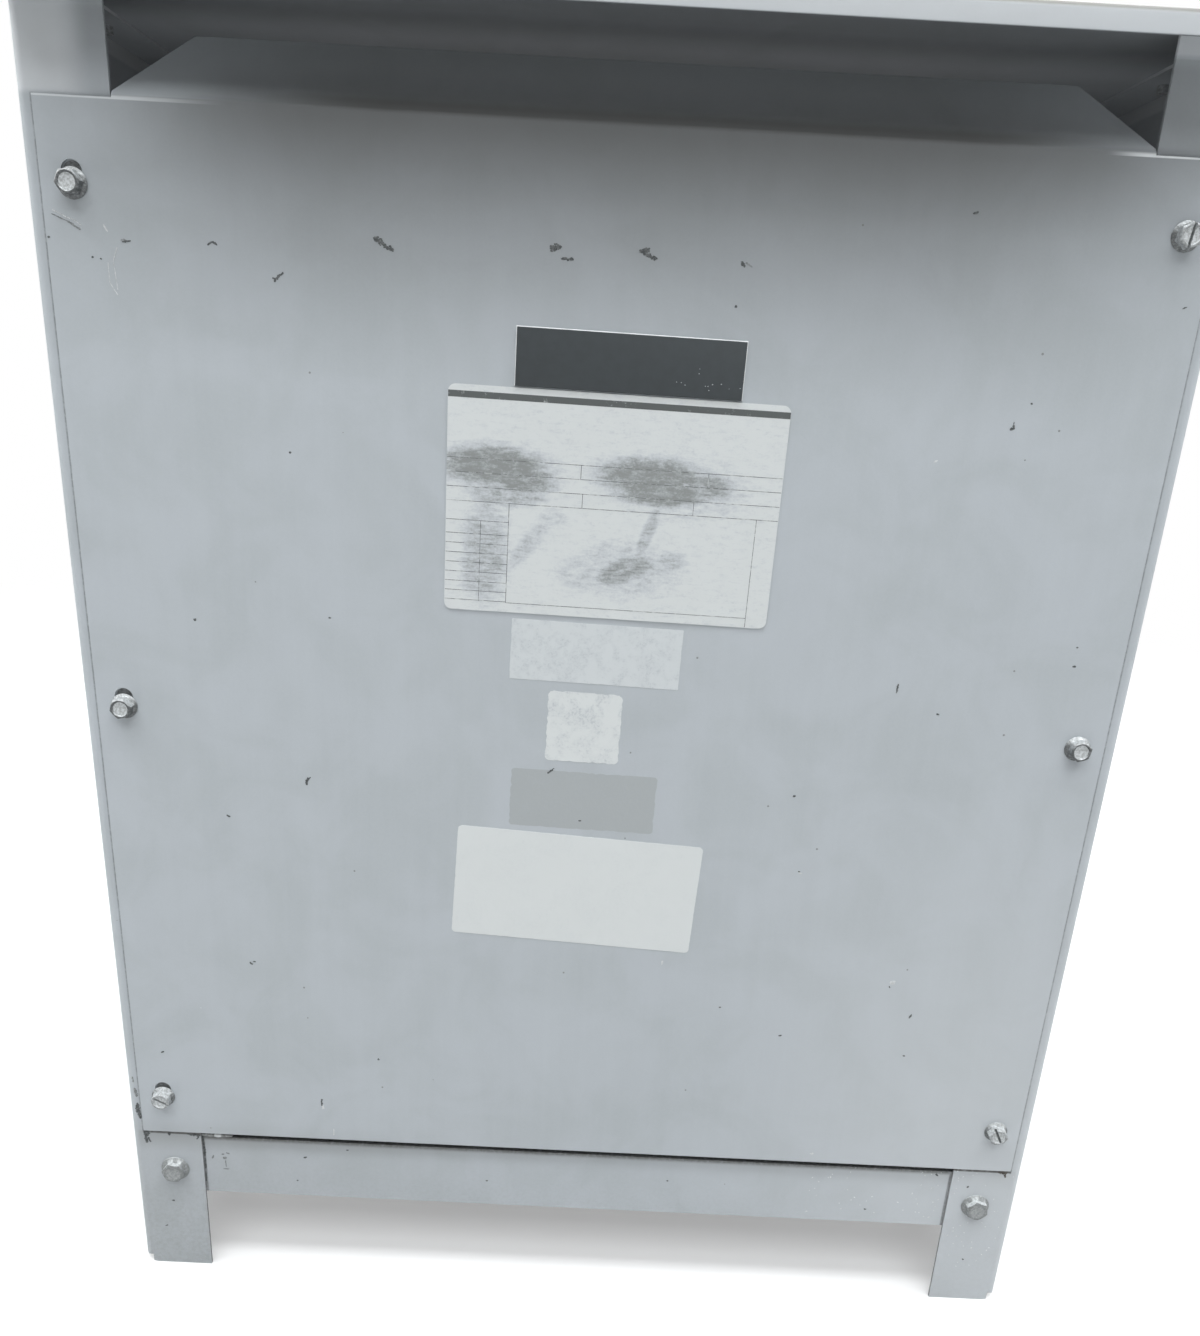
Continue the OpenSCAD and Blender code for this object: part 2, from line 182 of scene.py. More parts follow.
class ShaderGraph(Graph):
    """A material's node tree, with short methods for the nodes that the finishes share."""

    def __init__(self, name: str) -> None:
        """Start a material with one Principled shader on Object coordinates.

        Args:
            name: The material's name.
        """
        self.material = bpy.data.materials.new(name)
        self.material.use_nodes = True
        super().__init__(self.material.node_tree)
        self.tree.nodes.clear()
        self.shader = self.node("ShaderNodeBsdfPrincipled")
        self.node("ShaderNodeOutputMaterial", None, self.shader.outputs["BSDF"])
        self.place: Socket = self.node("ShaderNodeTexCoord").outputs["Object"]

    def surface(self, **values: Value) -> None:
        """Feed the shader's sockets, named in lower case with underscores."""
        for key, value in values.items():
            self.feed(self.shader.inputs[key.replace("_", " ").title().replace("Ior", "IOR")], value)

    def stretched(self, x: float, y: float, z: float, vector: Socket | None = None) -> Socket:
        """Return the coordinates divided along each axis, so that a pattern gets those sizes."""
        return self.vector("MULTIPLY", vector or self.place, (1 / x, 1 / y, 1 / z))

    def mapped(self, vector: Socket, middle: Triple, turn: float, size: Triple = (1.0, 1.0, 1.0)) -> Socket:
        """Return coordinates measured from a middle, turned about Y and divided by a size."""
        texture = {"vector_type": "TEXTURE"}
        return self.node("ShaderNodeMapping", texture, vector, middle, (0.0, turn, 0.0), size).outputs[0]

    def noise(self, size: float, detail: float = 2.0, roughness: float = 0.5, vector: Socket | None = None,
              distortion: float = 0.0) -> Socket:
        """Return cloudy noise from 0 to 1, in patches of a size in metres."""
        return self.node("ShaderNodeTexNoise", Vector=vector or self.place, Scale=1 / size, Detail=detail,
                         Roughness=roughness, Distortion=distortion).outputs["Fac"]

    def bands(self, direction: str, size: float, distortion: float = 0.0) -> Socket:
        """Return wavy bands across an axis, of a size in metres."""
        return self.node("ShaderNodeTexWave", {"wave_type": "BANDS", "bands_direction": direction},
                         Vector=self.place, Scale=1 / size, Distortion=distortion).outputs["Fac"]

    def specks(self, cell: float, size: float, share: float) -> Socket:
        """Return a mask of small round specks scattered one to a cell.

        Args:
            cell: Size of the cells in metres.
            size: Radius of the largest speck in metres.
            share: Share of the cells that have a speck.

        Returns:
            1 on a speck and 0 elsewhere.
        """
        cells = self.node("ShaderNodeTexVoronoi", Vector=self.place, Scale=1 / cell)
        split = self.node("ShaderNodeSeparateColor", None, cells.outputs["Color"])
        chosen = self.calc("LESS_THAN", split.outputs[0], share)
        reach = self.times(split.outputs[1], size / cell)
        return self.times(chosen, self.calc("LESS_THAN", cells.outputs["Distance"], reach))

    def mixed(self, share: Value, first: Value, second: Value) -> Socket:
        """Return the first colour with a share of the second in it."""
        return self.node("ShaderNodeMix", {"data_type": "RGBA"}, share, first, second).outputs[2]

    def axis(self, index: int, vector: Socket | None = None) -> Socket:
        """Return the X, Y or Z of the coordinates."""
        return self.node("ShaderNodeSeparateXYZ", None, vector or self.place).outputs[index]

    def upward(self) -> Socket:
        """Return how far a face looks up: 1 when level, 0 when upright and -1 below."""
        return self.axis(2, self.node("ShaderNodeNewGeometry").outputs["Normal"])

    def wear(self, name: str = WEAR) -> Socket:
        """Return a mesh attribute, such as where an edge is open to wear."""
        return self.node("ShaderNodeAttribute", {"attribute_name": name}).outputs["Fac"]

    def raised(self, *layers: tuple[Socket, float]) -> None:
        """Give the shader a bumpy normal.

        Args:
            *layers: Each layer's height from 0 to 1 and its depth in metres.
        """
        below: dict[str, Socket] = {}
        for height, depth in layers:
            bump = self.node("ShaderNodeBump", Height=height, Distance=depth, **below)
            below = {"Normal": bump.outputs[0]}
        self.surface(normal=below["Normal"])


@dataclass(frozen=True)
class Finish:
    """A finish: the name of its material, its slot and what is the same all over it."""

    name: str
    slot: Slot
    colour: Colour
    roughness: float = 0.5
    metallic: float = 0.0

    def material(self) -> bpy.types.Material:
        """Make the finish's material on its first use.

        Returns:
            The material.
        """
        made = bpy.data.materials.get(self.name)
        if made is None:
            graph = ShaderGraph(self.name)
            graph.surface(metallic=self.metallic)
            self.dress(graph)
            made = graph.material
        return made

    def gloss(self, graph: ShaderGraph, mask: Value, dull: float, matt: float,
              ends: Point = (0.0, 1.0)) -> None:
        """Vary the roughness with a mask, by two steps from the finish's own."""
        graph.surface(roughness=graph.span(mask, *ends, self.roughness + dull, self.roughness + matt))

    def dress(self, graph: ShaderGraph) -> None:
        """Lay a faint cloudiness over the colour and the gloss.

        Args:
            graph: The material's graph.
        """
        clouds = graph.noise(6 * MM, 4.0, 0.6)
        dulled = toned(self.colour, 0.86)
        graph.surface(base_color=graph.mixed(graph.span(clouds, 0.3, 0.7), dulled, self.colour))
        self.gloss(graph, clouds, 0.08, -0.05, (0.3, 0.7))


# A limit names a measure, where it begins and is full, and its strengths there where these aren't 0 and 1.
# A spot is in a zone as far as all of the zone's limits let it.
Limit = tuple[str, float, float] | tuple[str, float, float, float, float]
Zone = tuple[Limit, ...]

# Heights on the front in millimetres: the gap under the panel, the panel's top at its ends and the cover
GAP, VENT, COVER = 109.5, 711.0, 752.0
SLOPED: Limit = ("up", 0.92, 0.75)
OUTER: Limit = ("depth", 198, 204)
FACED: Limit = ("side", 290, 287)
BEHIND: Limit = ("depth", 226.8, 226.2)
RAIL_END: Limit = ("side", 249.5, 249)
FLANK: Zone = (OUTER, ("side", 245.2, 245.8), ("z", VENT - 1, VENT + 3), ("depth", 227.9, 227.5),
               ("z", COVER, COVER - 1))


@dataclass(frozen=True)
class Layer:
    """A layer over the enamel: its colour, its strength, its limits and the zones joined inside them."""

    colour: Colour
    strength: float
    limits: Zone
    zones: tuple[Zone, ...] = ()
    join: str = "MAXIMUM"


def even(strength: float) -> Limit:
    """Return a limit that holds everywhere, at a strength."""
    return ("everywhere", 0, 1, 0, strength)


ENAMEL_LAYERS = (
    # Painted shade where the cover shadows the vent: a broad shadow, the lip's edge and bend, its underside
    Layer(shade(70, 69, 66), 0.58, (("z", VENT - 140, VENT), ("z", COVER, COVER - 6), ("side", 330, 132),
                                    ("z", VENT + 8, VENT + 24, 1.0, 0.8), SLOPED, OUTER)),
    Layer(shade(70, 70, 68), 1.0, (SLOPED, OUTER), (
        (("z", VENT - 42, VENT + 2), ("z", VENT + 5, VENT), ("off", 290, 190), even(0.54)),
        (("z", VENT - 4, VENT + 2), ("z", VENT + 11, VENT + 4, 0.15, 1.0), ("off", 240, 135), even(0.8)))),
    # Painted light: the lip's left end keeps the clean enamel's tone, where light reaches it from the side
    Layer(shade(179, 185, 189), 0.85, (("up", 0.3, 0.5), SLOPED, OUTER, ("x", -185, -240),
                                       ("z", VENT + 24, VENT + 2))),
    Layer(shade(58, 61, 63), 1.0, (("z", COVER - 4, COVER), ("up", -0.4, -0.9),
                                   ("depth", 150, 197, 0.0, 0.74))),
    # Painted light: paler enamel low down at the right, and a painted sheen round the cover's rim
    Layer(shade(202, 206, 209), 1.0, (), (
        (("x", 40, 270), ("z", 480, 60), even(0.5)),
        (("z", COVER, COVER + 2), ("up", 0.6, 0.3), ("up", -0.5, -0.2), even(0.8)))),
    # Dirt low down, more of it to the left, and painted shade in a band under the panel's lower edge
    Layer(shade(112, 108, 100), 1.0, (), (
        (("z", 1.1 * GAP, 5), ("fine", 0.35, 0.75, 0.0, 0.22), ("x", 250, 0, 0.3, 1.0)),
        (("x", 0, -260, 0.0, 0.12), ("z", 126, 112)),
        (("z", 92, 105), ("z", 112, GAP), FACED, ("x", 270, -230, 0.08, 0.18))), "ADD"),
    # Painted shade and dirt in the gap under the panel, over the rail's top and along the rail's ends
    Layer(shade(86, 85, 82), 1.0, (OUTER, FACED, ("fine", 0.2, 0.6, 0.45, 0.95)), (
        (("z", GAP - 1, GAP), ("side", 285.5, 284.8), ("z", 1.026 * GAP, 1.018 * GAP),
         ("depth", 226.2, 226.8)),
        (("gap", 6.5, 3.4, 0.0, 0.85), BEHIND, RAIL_END),
        (("side", 245.5, 246.4), RAIL_END, BEHIND, ("z", 1.01 * GAP, GAP), even(0.65)))),
    # The side flanges over the panel: painted shade at the right and by the vent, painted light at the far
    # left
    Layer(shade(70, 70, 68), 0.24, FLANK, (
        (("x", 0, 10),),
        (("x", -266, -256), ("z", VENT + 12, VENT + 24)))),
    Layer(shade(222, 225, 227), 0.5, (*FLANK, ("x", -254, -272))),
    # Dust on the cover, painted shade on its rolled edge, stray specks and painted shadow in the panel's side
    # seams
    Layer(shade(132, 129, 122), 1.0, (), (
        (("up", 0.6, 0.98), ("cloud", 0.2, 0.75, 0.74, 1.0), ("z", COVER - 10, COVER - 6), even(0.9)),
        (("up", 0.04, 0.5), ("z", COVER + 8, COVER + 9.5), even(0.75)))),
    Layer(shade(96, 94, 90), 0.6, (("dark specks", 0, 1),)),
    Layer(shade(214, 217, 217), 0.7, (("pale specks", 0, 1),)),
    Layer(shade(92, 94, 94), 1.0, (("side", 285.9, 285.0), ("side", 283.4, 283.9), ("depth", 228.1, 227.6),
                                   OUTER, ("z", VENT + 1, VENT), ("z", GAP - 1.5, GAP),
                                   ("fine", 0.3, 0.6, 0.2, 0.55))),
    # The worn edges
    Layer(shade(120, 121, 120), 0.5, (("edge", 0, 1), ("patchy", 0.50, 0.62))),
    Layer(shade(208, 211, 212), 0.6, (("edge", 0, 1), ("patchy", 0.46, 0.36))),
    # Painted highlight along the panel's top edge beside the lip's ends
    Layer(shade(222, 226, 228), 0.9,
          (("z", VENT - 1.1, VENT - 0.7), ("up", 0.95, 0.9), ("z", VENT + 1.5, VENT),
           ("depth", 227.2, 227.7)),
          ((("x", -190, -247, 0.0, 0.7),), (("x", 222, 244),))),
)


@dataclass(frozen=True)
class GreyEnamel(Finish):
    """Satin grey enamel, with patches, faint runs and a fine grain, under dirt, wear, painted shade and
    painted light.
    """

    bluish: Colour = shade(186, 191, 199)
    patches: float = 0.05
    runs: float = 0.035
    grain: float = 0.03

    def tones(self, graph: ShaderGraph) -> Socket:
        """Return the clean enamel's tones: bluish patches, faint runs and a fine grain.

        Args:
            graph: The material's graph.

        Returns:
            The colour.
        """
        patch = graph.span(graph.noise(55 * MM, 3.0, 0.55, distortion=0.6), 0.32, 0.68)
        run = graph.noise(1.0, 3.0, 0.6, graph.stretched(9 * MM, 9 * MM, 140 * MM))
        grain = graph.noise(1.6 * MM, 2.0, 0.7)
        shares = ((patch, self.patches), (run, 2 * self.runs), (grain, 2 * self.grain))
        level = graph.joined("ADD", (1 - self.patches / 2 - self.runs - self.grain,
                                     *(graph.times(part, share) for part, share in shares)))
        self.gloss(graph, patch, 0.05, -0.03)
        graph.raised((grain, 0.03 * MM), (graph.noise(120 * MM, 1.0), 0.5 * MM))
        tone = graph.vector("SCALE", self.colour, level)
        return graph.mixed(graph.times(patch, 0.25), tone, self.bluish)

    def measures(self, graph: ShaderGraph) -> dict[str, Value]:
        """Return what the layers' limits are measured on: millimetres, the face's tilt and masks.

        Args:
            graph: The material's graph.

        Returns:
            Each measure by its name.
        """
        x, y, z = (graph.times(graph.axis(index), 1 / MM) for index in range(3))
        from_gap, from_middle = graph.calc("SUBTRACT", z, GAP), graph.calc("SUBTRACT", x, 20)
        sizes = {"side": x, "depth": y, "gap": from_gap, "off": from_middle}
        return {**{name: graph.calc("ABSOLUTE", size) for name, size in sizes.items()}, "x": x, "z": z,
                "up": graph.upward(), "edge": graph.wear(), "fine": graph.noise(2.4 * MM, 5.0, 0.7),
                "patchy": graph.noise(7 * MM, 4.0, 0.7), "cloud": graph.noise(24 * MM, 4.0),
                "dark specks": graph.specks(16 * MM, 0.9 * MM, 0.16),
                "pale specks": graph.specks(27 * MM, 0.8 * MM, 0.18), "everywhere": 1.0}

    def dress(self, graph: ShaderGraph) -> None:
        """Lay the layers over the tones.

        Args:
            graph: The material's graph.
        """
        colour = self.tones(graph)
        measures = self.measures(graph)

        def inside(zone: Zone) -> Value:
            """Return how far a spot is inside a zone's limits."""
            return graph.times(*(graph.span(measures[name], *ends) for name, *ends in zone))

        for layer in ENAMEL_LAYERS:
            masks = [inside(layer.limits)] if layer.limits else []
            if layer.zones:
                masks.append(graph.joined(layer.join, [inside(zone) for zone in layer.zones]))
            colour = graph.mixed(graph.times(*masks, layer.strength), colour, layer.colour)
        graph.surface(base_color=colour, specular_ior_level=0.25)


@dataclass(frozen=True)
class ZincPlate(Finish):
    """Dull zinc with a whitish bloom, dirt and painted shade down a head's sides, painted light where it
    looks up.
    """

    bloom: Colour = shade(150, 152, 150)
    # The tone of dirt and painted shade; lit is the tilt over which faces that look up lose it as painted
    # light
    dirt: Colour = shade(88, 90, 90)
    lit: Point = (0.05, 0.5)

    def dress(self, graph: ShaderGraph) -> None:
        """Mix bright and bloomed zinc with dirt and painted shade, faded to painted light where a face looks
        up.

        Args:
            graph: The material's graph.
        """
        bloomed = graph.span(graph.noise(1.3 * MM, 5.0, 0.7), 0.4, 0.62)
        crumbs = graph.span(graph.noise(1.5 * MM, 4.0, 0.7), 0.25, 0.6, 0.6, 1.0)
        dirt_and_shade_share = graph.times(graph.wear(DIRT_AND_SHADE), crumbs, graph.span(graph.upward(), *self.lit, 1.0, 0.12))
        plate = graph.mixed(bloomed, self.colour, self.bloom)
        graph.surface(base_color=graph.mixed(dirt_and_shade_share, plate, self.dirt))
        self.gloss(graph, bloomed, 0.0, 0.25)
        graph.raised((bloomed, 0.04 * MM))


@dataclass(frozen=True)
class Plated(Finish):
    """Plain metal or primer with fine lengthwise scratches."""

    scratch: float = 0.02 * MM

    def dress(self, graph: ShaderGraph) -> None:
        """Streak the colour and the gloss along X.

        Args:
            graph: The material's graph.
        """
        streak = graph.noise(1.0, 4.0, 0.6, graph.stretched(30 * MM, 0.6 * MM, 0.6 * MM))
        cloud = graph.span(graph.noise(14 * MM, 4.0, 0.6), 0.3, 0.7)
        graph.surface(base_color=graph.mixed(cloud, toned(self.colour, 0.78), self.colour))
        self.gloss(graph, streak, -0.08, 0.1, (0.3, 0.7))
        graph.raised((streak, self.scratch))


@dataclass(frozen=True)
class CoilVarnish(Finish):
    """Insulating wrap under amber varnish: a fine weave, with darker pools of varnish."""

    def dress(self, graph: ShaderGraph) -> None:
        """Weave the wrap and pool the varnish.

        Args:
            graph: The material's graph.
        """
        weave = graph.bands("Z", 7 * MM, 1.2)
        pool = graph.span(graph.noise(22 * MM, 4.0, 0.6), 0.38, 0.66)
        deep = toned(self.colour, 0.45)
        colour = graph.mixed(graph.times(pool, 0.7), self.colour, deep)
        graph.surface(base_color=graph.mixed(graph.times(weave, 0.18), colour, deep), coat_weight=0.3)
        self.gloss(graph, pool, 0.0, -0.17)
        graph.raised((weave, 0.08 * MM), (pool, 0.1 * MM))


@dataclass(frozen=True)
class Laminate(Finish):
    """Glass laminate: a fine square weave showing through the resin."""

    def dress(self, graph: ShaderGraph) -> None:
        """Cross two fine bands for the weave.

        Args:
            graph: The material's graph.
        """
        weave = graph.times(*(graph.bands(direction, 5 * MM) for direction in "XZ"))
        cloud = graph.span(graph.noise(30 * MM, 3.0), 0.3, 0.7)
        pale = tuple(channel + 0.02 for channel in toned(self.colour, 1.5))
        colour = graph.mixed(graph.times(weave, 0.4), self.colour, pale)
        graph.surface(base_color=graph.mixed(graph.times(cloud, 0.3), colour, self.colour))
        self.gloss(graph, cloud, 0.0, 0.1)
        graph.raised((weave, 0.02 * MM))


@dataclass(frozen=True)
class Smudge:
    """A soft oval mark: its middle and half sizes in millimetres, its strength, and its turn in degrees."""

    x: float
    z: float
    half_w: float
    half_h: float
    strength: float = 1.0
    turn: float = 0.0

    def mask(self, graph: ShaderGraph, view: Socket) -> Socket:
        """Return its strength in the middle, fading to 0 at the edge, in a plate's own front view."""
        oval = graph.mapped(view, (self.x * MM, 0.0, self.z * MM), -math.radians(self.turn),
                            (self.half_w * MM, 1e6, self.half_h * MM))
        return graph.span(graph.vector("LENGTH", oval), 1.35, 0.5, 0.0, self.strength)


@dataclass(frozen=True)
class PlateFoil(Finish):
    """Pale satin foil of the nameplate, rubbed down to grey where hands and dirt have been."""

    middle: Point = (0.0, 0.0)
    turn: float = 0.0
    haze: Colour = shade(188, 193, 198)
    bare: Colour = shade(136, 140, 139)
    smudges: tuple[Smudge, ...] = ()

    def dress(self, graph: ShaderGraph) -> None:
        """Rub the foil in the plate's own front view, measured from its middle.

        Args:
            graph: The material's graph.
        """
        view = graph.mapped(graph.place, (self.middle[0], 0.0, self.middle[1]), self.turn)
        rubbed = graph.joined("MAXIMUM", [mark.mask(graph, view) for mark in self.smudges])
        strokes = graph.noise(1.0, 5.0, 0.72, graph.stretched(7 * MM, 1.0, 2.2 * MM, view), 0.4)
        crumbs = graph.noise(1.3 * MM, 4.0, 0.75, view)
        torn = graph.joined("ADD", (graph.times(strokes, 1.5), graph.times(crumbs, 0.7), rubbed))
        veil = graph.span(graph.noise(11 * MM, 5.0, 0.7, view), 0.52, 0.75, 0.0, 0.2)
        colour = graph.mixed(veil, self.colour, self.haze)
        colour = graph.mixed(graph.span(torn, 1.05, 1.6, 0.0, 0.85), colour, self.haze)
        graph.surface(base_color=graph.mixed(graph.span(torn, 1.42, 2.15), colour, self.bare))
        self.gloss(graph, torn, 0.0, 0.2, (1.2, 1.8))
        graph.raised((strokes, 0.01 * MM))


@dataclass(frozen=True)
class WornInk(Finish):
    """Thin printed ink, faded to the foil in places."""

    foil: Colour = shade(207, 211, 211)
    kept: float = 0.45

    def dress(self, graph: ShaderGraph) -> None:
        """Fade the ink in patches.

        Args:
            graph: The material's graph.
        """
        fade = graph.noise(5 * MM, 5.0, 0.75)
        faded = graph.span(fade, self.kept, self.kept + 0.2, 0.0, 0.75)
        graph.surface(base_color=graph.mixed(faded, self.colour, self.foil))
        self.gloss(graph, fade, 0.0, 0.1, (0.3, 0.7))


@dataclass(frozen=True)
class StickerFilm(Finish):
    """Pale film of a sticker, mottled where its face has rubbed and its glue has lifted."""

    mottle: float = 0.5
    grain: float = 7 * MM
    rubbed: Colour = shade(176, 182, 187)

    def dress(self, graph: ShaderGraph) -> None:
        """Mottle the film at two scales.

        Args:
            graph: The material's graph.
        """
        broad = graph.span(graph.noise(self.grain, 6.0, 0.68, distortion=0.4), 0.42, 0.62)
        fine = graph.span(graph.noise(1.2 * MM, 4.0, 0.7), 0.45, 0.65)
        spots, veil = graph.times(broad, fine, self.mottle), graph.times(broad, 0.3 * self.mottle)
        share = graph.calc("ADD", spots, veil)
        graph.surface(base_color=graph.mixed(share, self.colour, self.rubbed))
        self.gloss(graph, broad, 0.0, 0.15)
        graph.raised((broad, 0.03 * MM))


@dataclass(frozen=True)
class Residue(Finish):
    """Crusty residue left on the enamel, in two tones; also painted shade behind the screw slots and by the
    rail's end.
    """

    paler: Colour = shade(112, 114, 114)

    def dress(self, graph: ShaderGraph) -> None:
        """Crumble the residue's colour.

        Args:
            graph: The material's graph.
        """
        crumb = graph.span(graph.noise(1.4 * MM, 4.0, 0.7), 0.40, 0.60)
        graph.surface(base_color=graph.mixed(crumb, self.colour, self.paler), roughness=self.roughness)
        graph.raised((crumb, 0.1 * MM))


RUBBED = (
    Smudge(-64, 19, 32, 11.5, 0.92), Smudge(-47, 12.5, 19, 8, 0.85), Smudge(-56, 4.5, 22, 7, 0.6),
    Smudge(-66, -26.5, 13, 30, 0.56), Smudge(-71, -37.5, 9, 14, 0.5), Smudge(19, 18.5, 31, 11, 0.9),
    Smudge(25, 10, 27, 7.5, 0.88), Smudge(47, 15, 17, 8, 0.75), Smudge(36, 13.5, 36, 17, 0.3),
    Smudge(9, -31.5, 18, 8, 0.76, 20), Smudge(9, -31, 30, 16, 0.35), Smudge(19, -12, 17, 3.6, 0.6, 72),
    Smudge(33, -25.5, 9, 6, 0.5), Smudge(-31, -6.5, 7, 5, 0.35), Smudge(-44, -21.5, 20, 5, 0.42, 52),
    Smudge(-14, -35.5, 14, 9, 0.35),
)

ENAMEL = GreyEnamel("grey_enamel", Slot.PAINT, shade(179, 185, 189), 0.55)
ZINC = ZincPlate("zinc_plate", Slot.FASTENER, shade(200, 204, 206), 0.36, 0.3, shade(160, 163, 163),
                 shade(66, 69, 70))
FOOT_ZINC = ZincPlate("painted_zinc", Slot.FASTENER, shade(204, 208, 209), 0.45, 0.2, shade(168, 172, 173),
                      shade(116, 119, 119), lit=(0.3, 0.75))
PRIMER = Plated("grey_primer", Slot.CLAMP, shade(104, 108, 110), 0.62)
CORE_STEEL = Plated("core_steel_edges", Slot.CORE, shade(92, 95, 99), 0.42, 0.55, 0.05 * MM)
VARNISH = CoilVarnish("amber_varnish", Slot.COIL, shade(156, 122, 74), 0.45)
LAMINATE = Laminate("red_laminate", Slot.BOARD, shade(146, 66, 50), 0.4)
BAR = Plated("mill_aluminium", Slot.BAR, shade(205, 206, 206), 0.36, 0.9)
RUBBER = Finish("black_rubber", Slot.RUBBER, shade(44, 44, 45), 0.8)
TAG_FACE = Finish("engraving_black", Slot.TAG, shade(50, 56, 59), 0.42)
TAG_CORE = Finish("engraving_pale_core", Slot.TAG, shade(212, 215, 216), 0.5)
BAND_INK = WornInk("dark_band", Slot.PLATE, shade(82, 86, 86), 0.5, kept=0.58)
RULE_INK = WornInk("rule_ink", Slot.PLATE, shade(96, 100, 102), 0.55)
FOIL = StickerFilm("foil_film", Slot.STICKER, shade(203, 208, 210), 0.38)
SQUARE_FILM = StickerFilm("worn_film", Slot.STICKER, shade(212, 216, 216), 0.42, mottle=0.6, grain=12 * MM)
NOTICE_FILM = StickerFilm("pale_film", Slot.STICKER, shade(211, 215, 215), 0.45, mottle=0.08, grain=20 * MM)
GHOST = StickerFilm("bare_patch", Slot.PAINT, shade(165, 170, 172), 0.5, mottle=0.25, grain=9 * MM,
                    rubbed=shade(172, 177, 180))
DRIP = Finish("thick_paint", Slot.PAINT, shade(206, 210, 212), 0.3)
# Dark residue; by the rail's left end the same finish draws a line of painted shade
DARK_RESIDUE_AND_SHADE = Residue("dark_residue", Slot.PAINT, shade(64, 68, 70), 0.7, paler=shade(98, 101, 101))
CHIP = Residue("pale_chip", Slot.PAINT, shade(208, 211, 212), 0.6, paler=shade(192, 195, 196))
SCUFF = Residue("grey_scuff", Slot.PAINT, shade(116, 119, 120), 0.6, paler=shade(142, 145, 146))
RUST = Residue("rust_spot", Slot.PAINT, shade(78, 73, 69), 0.8, paler=shade(105, 101, 96))
CAKED = Residue("caked_paint", Slot.PAINT, shade(108, 110, 109), 0.7, paler=shade(152, 155, 155))
# Painted shade and dirt in the recesses behind the screw slots
SLOT_GRIME_AND_SHADE = Residue("slot_grime", Slot.PAINT, shade(110, 113, 114), 0.9, paler=shade(142, 145, 146))
SALT = Residue("pale_specks", Slot.PAINT, shade(222, 225, 225), 0.6, paler=shade(204, 207, 208))


# ---- Meshes ----


def rounded_rectangle(width: float, height: float, radius: float, steps: int = 6) -> list[Point]:
    """Return a rounded rectangle's outline about its middle, anticlockwise, with some steps to a corner."""
    return [(side * (width / 2 - radius) + radius * math.cos(angle),
             level * (height / 2 - radius) + radius * math.sin(angle))
            for corner, (side, level) in enumerate(((1, 1), (-1, 1), (-1, -1), (1, -1)))
            for angle in (math.radians(90 * (corner + step / steps)) for step in range(steps + 1))]


def rectangle(left: float, right: float, bottom: float, top: float) -> list[Point]:
    """Return a rectangle's corners, anticlockwise."""
    return [(left, bottom), (right, bottom), (right, top), (left, top)]


def ring(width: float, depth: float, radius: float, z: float, steps: int = 6,
         place: Matrix = Matrix()) -> list[Vector]:
    """Return the points of a rounded rectangle at a height of its own, in its place."""
    return [place @ Vector((x, y, z)) for x, y in rounded_rectangle(width, depth, radius, steps)]


